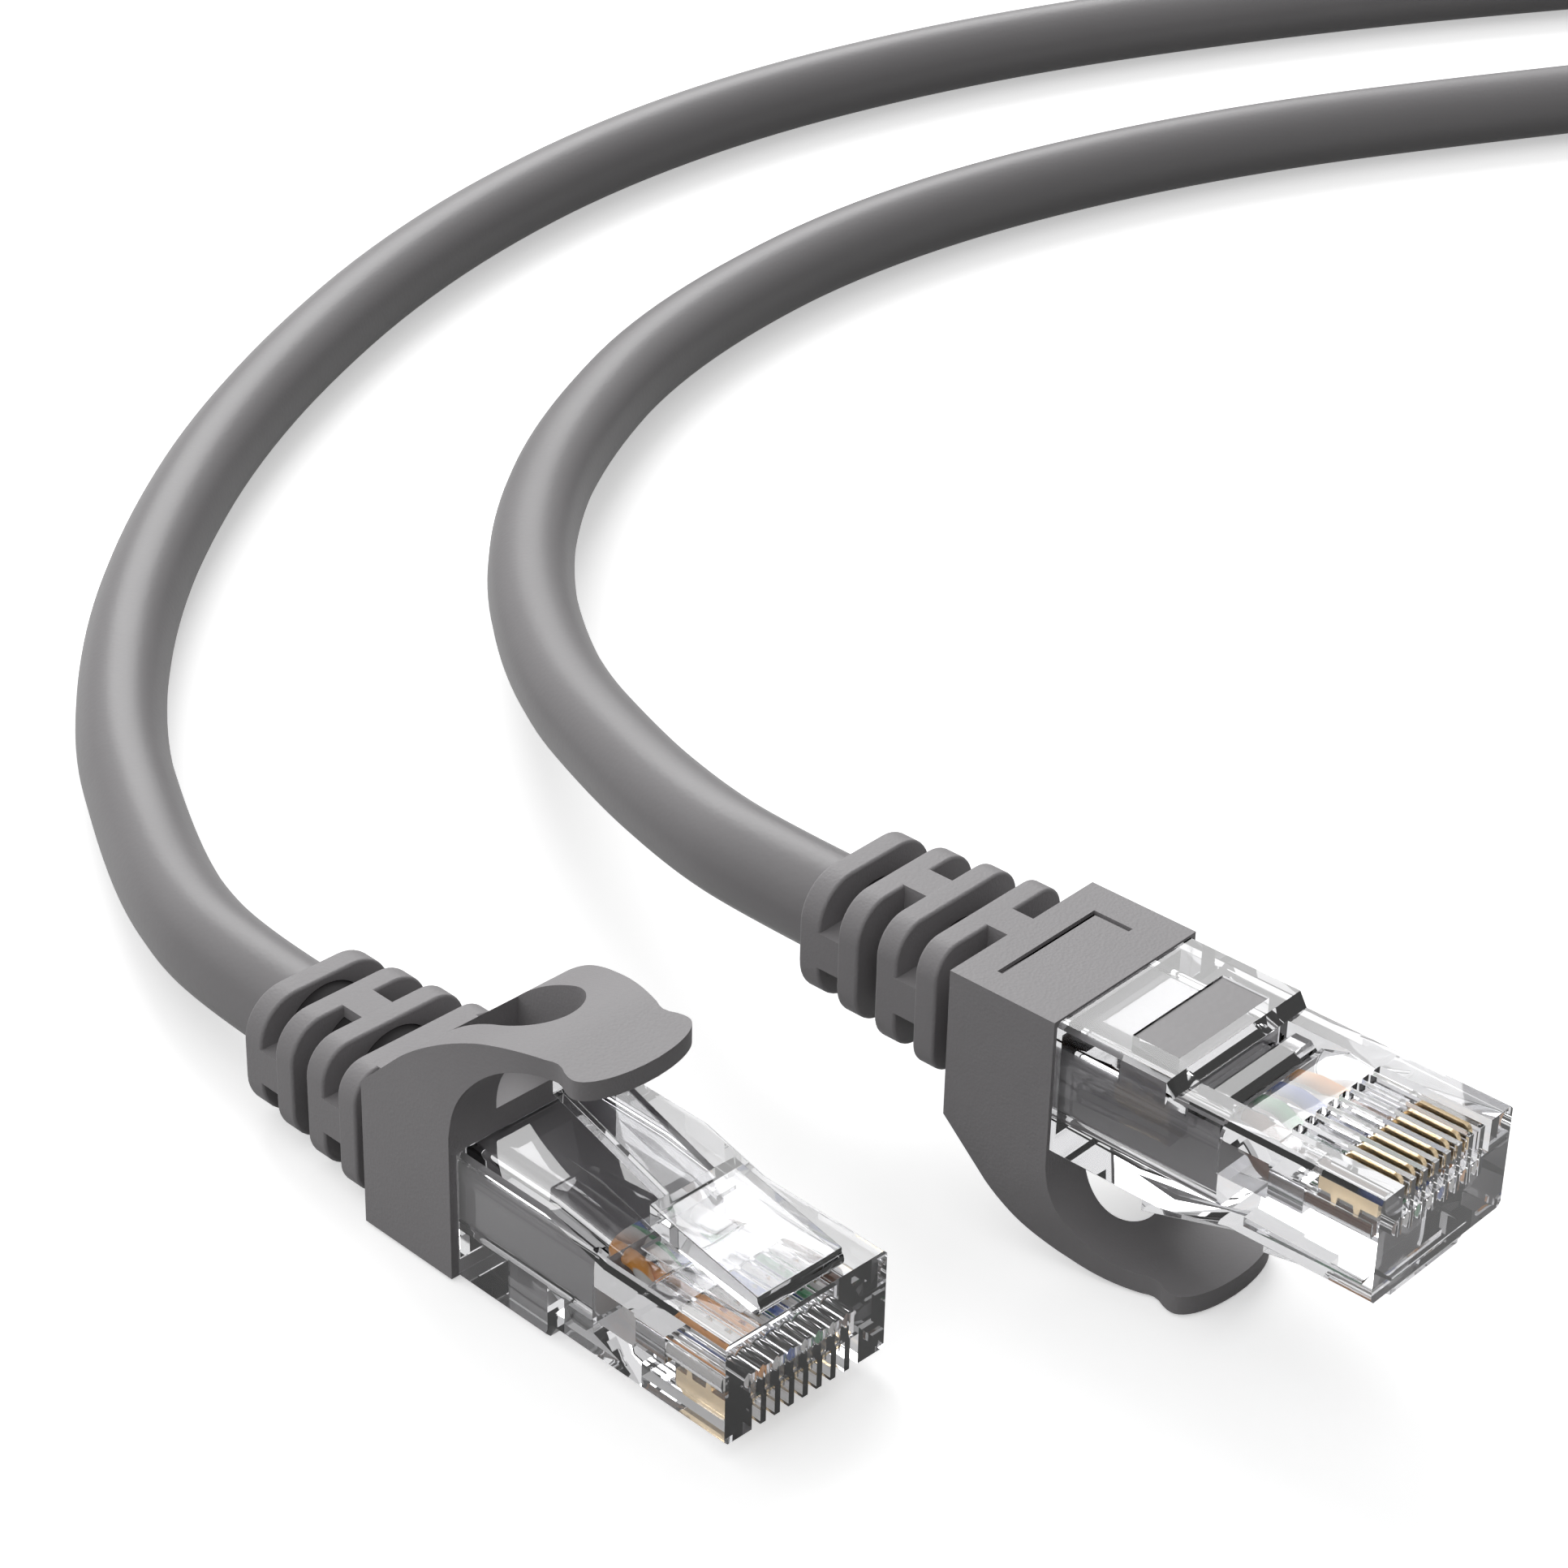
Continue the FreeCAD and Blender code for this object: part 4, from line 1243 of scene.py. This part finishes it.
    def relief(self) -> list[Piece]:
        """Adds the ribs, the bridges between them and the web to the boot.

        Returns:
            All of them.
        """
        parts = []
        for index in range(self.ribs):
            parts += [self.round_rib(index), self.bridge(index)]
        first = self.rib(0)
        half = first.width / 2 - first.corner
        roof = self.rib_e + first.height / 2
        parts.append(block("roof", (first.front - self.rib_t / 2, -half, roof - self.roof_t),
                           (self.rear_x + self.rib_t, half, roof)))
        return parts

    def width_at(self, x: float) -> float:
        """Width of the hook at a place along the plug.

        Args:
            x: The place.

        Returns:
            The width.
        """
        tip = x - (self.tip_x - self.tip_round)
        if tip > 0:
            left = max(1 - (tip / self.tip_round) ** 2, self.tip_least)
            return self.NICK_MARKS[-1][1] * math.sqrt(left)
        if x <= self.NICK_MARKS[0][0]:
            return self.NICK_MARKS[0][1]
        for (x0, w0), (x1, w1) in zip(self.NICK_MARKS, self.NICK_MARKS[1:]):
            if x <= x1:
                return w0 + (w1 - w0) * (x - x0) / (x1 - x0)
        return self.NICK_MARKS[-1][1]

    def stations(self) -> Iterator[Station]:
        """Cross-sections of the hook from the boot to the tip.

        Yields:
            Each section in order.
        """
        top = self.pad_top
        under = top - self.pad_t
        slope = math.radians(self.slope)
        for step in range(1, self.curve_steps + 1):
            share = step / self.curve_steps
            turn = slope * (1 - share)
            back = (self.pad_x - self.back_r * math.sin(turn), top - self.back_r * (1 - math.cos(turn)))
            turn = math.pi / 2 * (1 - share)
            front = (self.arch_x - self.arch_r * math.sin(turn), under - self.arch_r * (1 - math.cos(turn)))
            middle = self.front_share * front[0] + (1 - self.front_share) * back[0]
            yield Station(front, back, self.width_at(middle))
        tip = [
            self.tip_x - self.tip_round * (1 - math.sin(math.pi / 2 * step / self.tip_steps))
            for step in range(1, self.tip_steps + 1)
        ]
        for x in (*self.PAD_MARKS, *tip):
            yield Station((x, under), (x, top), self.width_at(x))

    def body(self) -> Piece:
        """Adds the boot's block and grows the hook from its top, section by section.

        Returns:
            The block with its hook.
        """
        top = self.height - self.springing
        obj = block("boot", (self.rear_x, -self.width / 2, 0.0), (self.front_x, self.width / 2, top))
        last = Station((self.front_x, top), (self.rear_x, top), self.width)
        bpy.ops.object.mode_set(mode="EDIT")
        pick(obj, Element.FACE, lambda face: face.normal.z > self.UPWARD)
        for station in self.stations():
            centre = station.centre
            bpy.ops.mesh.extrude_region_move(TRANSFORM_OT_translate={"value": centre - last.centre})
            bpy.ops.transform.rotate(value=station.tilt - last.tilt, orient_axis="Y", center_override=centre)
            depth = station.depth / last.depth
            bpy.ops.transform.resize(value=(depth, station.width / last.width, depth), center_override=centre)
            last = station
        bpy.ops.object.mode_set(mode="OBJECT")
        break_edges(obj, self.edge, self.edge_steps, self.BODY_EDGE_ANGLE)
        return obj

    def cutters(self) -> list[Piece]:
        """Adds the shapes of the hollows for the plug's tail, jacket and cord, the slot and the groove.

        Returns:
            All of them.
        """
        half = self.slot_width / 2
        low = self.height + self.slot_floor
        round_x = self.slot_front - half
        middle = (self.slot_top + low) / 2
        hole_x, hole_length = self.cord_hole
        tools = [block(name, *corners) for name, corners in self.ROOMS.items()]
        tools += [
            bore("cord_hole", Axis.ALONG, (hole_x, 0.0, self.axis_e), self.cord_r, hole_length),
            block("slot", (self.slot_rear, -half, low), (round_x, half, self.slot_top)),
            bore("slot_end", Axis.UP, (round_x, 0.0, middle), half, self.slot_top - low),
        ]
        line = self.front_x - self.groove_back
        for name, corners in self.GROOVES.items():
            tools.append(block(name, *((line + x, y, e) for x, y, e in corners)))
        return tools

    def build(self) -> Piece:
        """Models the boot in the plug's own frame, in millimetres, and dresses it.

        Returns:
            The finished piece, to be copied to each plug.
        """
        whole = joined([self.body(), *self.relief()], "boot")
        cut(whole, self.cutters())
        outward(whole)
        shade_smooth(whole, self.NORMAL_WEIGHT)
        dress(whole, BOOT_GREY.material())
        return whole


# The plugs

@dataclass
class Plugs:
    """Both plugs: clear mouldings, contacts and wires with their finishes, and a boot on each.

    Attributes:
        nodes: The CAD nodes by name.
        wire_spot: A place on the wires' axes in the nose, x and e in millimetres.
        wire_pitch: From wire to wire.
        clear_edge: Width of the clear mouldings' broken edges, in metres.
        root_x: Where the hook's root is, along the plug in millimetres; two spots there are worked out but
            not used.
        root_e: Heights of those spots.
    """
    nodes: dict[str, Piece]
    wire_spot: Pair = (-3.0, 3.9)
    wire_pitch: float = 1.02
    clear_edge: float = 0.00005
    root_x: float = -23.2
    root_e: Pair = (9.5, 11.7)

    # How the CAD's triangles become faces, and how their edges are broken and shaded
    MERGE = 1e-6
    FLAT_ANGLE = math.radians(1.0)
    EDGE_STEPS = 2
    EDGE_ANGLE = 40.0
    NORMAL_WEIGHT = 100

    def dress_inside(self, plug: PlugPlace) -> list[Piece]:
        """Gives the CAD nodes inside one plug their finishes.

        Args:
            plug: Which plug.

        Returns:
            The nodes.
        """
        finishes = {
            "contacts": CONTACT_GOLD.material(),
            "load_bar": BAR_CLEAR.material(),
            "jacket_clamp": CLAMP_CLEAR.material(),
            "jacket_end": JACKET_END_PAINTED_SHADE.material(plug),
        }
        x, e = self.wire_spot
        middle = (len(SHEATHS) - 1) / 2
        for index, sheath in enumerate(SHEATHS):
            axis = plug.spot(x, (index - middle) * self.wire_pitch, e)
            finishes["wire_" + sheath.name] = sheath.material(axis, plug)
        kept = []
        for piece, material in finishes.items():
            node = self.nodes[plug.node(piece)]
            dress_node(node, material)
            kept.append(node)
            LOG.info("dressed %s", node.name)
        return kept

    def softened(self, node: Piece, name: str) -> Piece:
        """Copies a CAD node, merges its triangles into faces and breaks its sharp edges.

        Args:
            node: The CAD node.
            name: Name of the copy.

        Returns:
            The copy.
        """
        copy = shown(name, node.data.copy())
        only(copy)
        bpy.ops.object.mode_set(mode="EDIT")
        bpy.ops.mesh.select_all(action="SELECT")
        bpy.ops.mesh.remove_doubles(threshold=self.MERGE)
        bpy.ops.mesh.dissolve_limited(angle_limit=self.FLAT_ANGLE)
        bpy.ops.object.mode_set(mode="OBJECT")
        break_edges(copy, self.clear_edge, self.EDGE_STEPS, self.EDGE_ANGLE)
        shade_smooth(copy, self.NORMAL_WEIGHT)
        return copy

    def mould_clear(self, plug: PlugPlace) -> list[Piece]:
        """Makes one plug's clear mouldings.

        Args:
            plug: Which plug.

        Returns:
            The housing and the latch.
        """
        made = []
        for piece, finish, body in (
                ("housing", HOUSING_CLEAR, "cord_body"), ("latch", LATCH_CLEAR, "latch_" + plug.letter)):
            node = self.nodes[plug.node(piece)]
            copy = self.softened(node, f"clear_{piece}_{plug.letter}")
            dress(copy, finish.material())
            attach(copy, body)
            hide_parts(plug.node(piece))
            made.append(copy)
            LOG.info("moulded %s", copy.name)
        return made

    def fit_boot(self, model: Piece, plug: PlugPlace) -> Piece:
        """Puts a copy of the boot on one plug.

        Args:
            model: The boot in the plug's own frame.
            plug: Which plug.

        Returns:
            The boot in its place.
        """
        mesh = model.data.copy()
        mesh.transform(plug.matrix)
        boot = shown(f"boot_with_hook_{plug.letter}", mesh)
        low, high = (plug.spot(self.root_x, 0.0, e) for e in self.root_e)
        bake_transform(boot)
        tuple(low)
        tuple(high)
        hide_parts(plug.node("boot"), plug.node("hook"))
        LOG.info("fitted %s", boot.name)
        return boot

    def dress_ties(self) -> Piece:
        """Gives the coil's ties their finish.

        Returns:
            The ties' node.
        """
        ties = self.nodes["coil_ties"]
        dress_node(ties, TIE_BLACK.material())
        return ties


# The studio

@dataclass
class Studio:
    """Camera, floor, backdrop and light. Lengths are in metres.

    Attributes:
        place: The camera's place.
        heading: Its turn about the vertical, in degrees.
        pitch: How far it looks down, in degrees.
        roll: Its roll, in degrees.
        focal: Focal length in the photograph's pixels.
        sensor: Width of its sensor in millimetres.
        clip: Nearest and furthest distance that it sees.
        floor_size: Side of the floor.
        floor_drop: How far it lies below the cable, so that they don't touch.
        floor_lift: Strength added to it for the camera, up to white.
        clear_tone: The floor's tone in gloss and through clear plastic.
        clear_lift: Strength added to it there.
        bounce: The floor's tone for the light that it throws back.
        bright_side: Direction that the sky is brightest in.
        sky_edge: How far round from it the sky starts to brighten, as a cosine.
        sky: The sky's light on the side away from it, and in that direction.
        card_turn: Directions, by x, between which the card changes from left to right.
        card_rise: The same, by z, from the horizon to overhead.
        card: What gloss and clear plastic see at the horizon, on the camera's left and right.
        card_top: What they see overhead.
        key_place: Where the lamp hangs.
        key_target: What it points at.
        key_size: Its side.
        key_power: Its power in watts.
    """
    place: Spot = (0.13808, -0.12268, 0.14155)
    heading: float = 44.518
    pitch: float = 31.283
    roll: float = 1.375
    focal: float = 5188.7
    sensor: float = 36.0
    clip: Pair = (0.005, 20.0)
    floor_size: float = 12.0
    floor_drop: float = 0.0002
    floor_lift: float = 0.48
    clear_tone: float = 0.74
    clear_lift: float = 0.24
    bounce: float = 0.15
    bright_side: Spot = (-0.47, -0.53, 0.70)
    sky_edge: float = -0.12
    sky: Pair = (0.03, 1.02)
    card_turn: Pair = (-0.2, 0.8)
    card_rise: Pair = (0.05, 0.55)
    card: Pair = (0.20, 0.80)
    card_top: float = 0.88
    key_place: Spot = (-0.62, 0.50, 0.60)
    key_target: Spot = (0.0, 0.05, 0.0)
    key_size: float = 0.62
    key_power: float = 5.6

    def lay_camera(self) -> None:
        """Places the camera at the photograph's angle."""
        data = bpy.data.cameras.new("camera")
        data.sensor_fit = "HORIZONTAL"
        data.sensor_width = self.sensor
        data.lens = self.focal / PHOTO_SIDE * data.sensor_width
        data.clip_start, data.clip_end = self.clip
        camera = shown("camera", data)
        turn = (Matrix.Rotation(math.radians(self.heading), 4, "Z")
                @ Matrix.Rotation(math.radians(90.0 - self.pitch), 4, "X")
                @ Matrix.Rotation(math.radians(self.roll), 4, "Z"))
        camera.matrix_world = Matrix.Translation(self.place) @ turn
        bpy.context.scene.camera = camera

    def lay_floor(self) -> None:
        """Lays a pale floor that keeps the shadows, is white to the camera and throws little light back."""
        bpy.ops.object.select_all(action="DESELECT")
        bpy.ops.mesh.primitive_plane_add(size=self.floor_size, location=(0.0, 0.0, -self.floor_drop))
        floor = bpy.context.active_object
        floor.name = "floor"
        shader = Shader(FLOOR_WHITE.name, FLOOR_WHITE)
        wiring = shader.wiring
        camera, clear = wiring.rays()
        unseen = wiring.mix(clear, grey(self.bounce), grey(self.clear_tone))
        shader.set("Base Color", wiring.mix(camera, unseen, rgba(FLOOR_WHITE.colour)))
        shader.set("Emission Color", grey(1.0))
        for_camera = wiring.math("MULTIPLY", camera, self.floor_lift)
        for_clear = wiring.math("MULTIPLY", clear, self.clear_lift)
        shader.set("Emission Strength", wiring.math("ADD", for_camera, for_clear))
        dress(floor, shader.material)

    def sky_light(self, wiring: Wiring, direction: Socket) -> Socket:
        """The light from a direction: most from above and the left, least from the right and front.

        Args:
            wiring: The world's wiring.
            direction: The direction's socket.

        Returns:
            The strength.
        """
        towards = wiring.add("ShaderNodeVectorMath", operation="DOT_PRODUCT")
        wiring.put(direction, towards.inputs[0])
        wiring.put(self.bright_side, towards.inputs[1])
        return wiring.ramp(towards.outputs["Value"], (self.sky_edge, 1.0), self.sky)

    def hang_world(self) -> None:
        """Gives a sky with one brighter side, white to the camera and pale in gloss and clear plastic."""
        world = bpy.data.worlds.new("studio")
        bpy.context.scene.world = world
        world.use_nodes = True
        tree = world.node_tree
        tree.nodes.clear()
        wiring = Wiring(tree)
        direction = wiring.add("ShaderNodeTexCoord").outputs["Generated"]
        axes = wiring.axes(direction)
        camera, clear = wiring.rays()
        low = wiring.ramp(axes.outputs["X"], self.card_turn, self.card, eased=True)
        card = wiring.ramp(axes.outputs["Z"], self.card_rise, (low, self.card_top), eased=True)
        light = wiring.add("ShaderNodeMix", data_type="FLOAT")
        wiring.put(clear, light.inputs["Factor"])
        wiring.put(self.sky_light(wiring, direction), light.inputs["A"])
        wiring.put(card, light.inputs["B"])
        background = wiring.add("ShaderNodeBackground")
        wiring.put(wiring.math("MAXIMUM", light.outputs[0], camera), background.inputs["Strength"])
        wiring.put(grey(1.0), background.inputs["Color"])
        output = wiring.add("ShaderNodeOutputWorld")
        wiring.put(background.outputs["Background"], output.inputs["Surface"])

    def hang_lamp(self) -> None:
        """Hangs the soft square lamp behind the cable."""
        data = bpy.data.lights.new("key", "AREA")
        data.shape = "SQUARE"
        data.size = self.key_size
        data.energy = self.key_power
        lamp = shown("key", data)
        aim = Vector(self.key_target) - Vector(self.key_place)
        turn = aim.to_track_quat("-Z", "Y").to_matrix().to_4x4()
        lamp.matrix_world = Matrix.Translation(self.key_place) @ turn

    def build(self) -> None:
        """Sets up the whole studio."""
        self.lay_camera()
        self.lay_floor()
        self.hang_world()
        self.hang_lamp()
        bpy.context.scene.view_settings.view_transform = "Standard"


def main() -> None:
    """Builds the cable around the CAD frame."""
    logging.basicConfig(level=logging.INFO, format="%(message)s")
    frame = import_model()
    Studio().build()
    cable = PatchCord()
    cord = cable.build()
    plugs = Plugs(frame["nodes"])
    plugs.dress_inside(PLUG_A)
    plugs.mould_clear(PLUG_A)
    carried = plugs.dress_inside(PLUG_B) + plugs.mould_clear(PLUG_B)
    ties = plugs.dress_ties()
    model = MouldedBoot().build()
    plugs.fit_boot(model, PLUG_A)
    carried.append(plugs.fit_boot(model, PLUG_B))
    bpy.data.objects.remove(model, do_unlink=True)
    carried.append(ties)
    cable.declare()


if __name__ == "__main__":
    main()
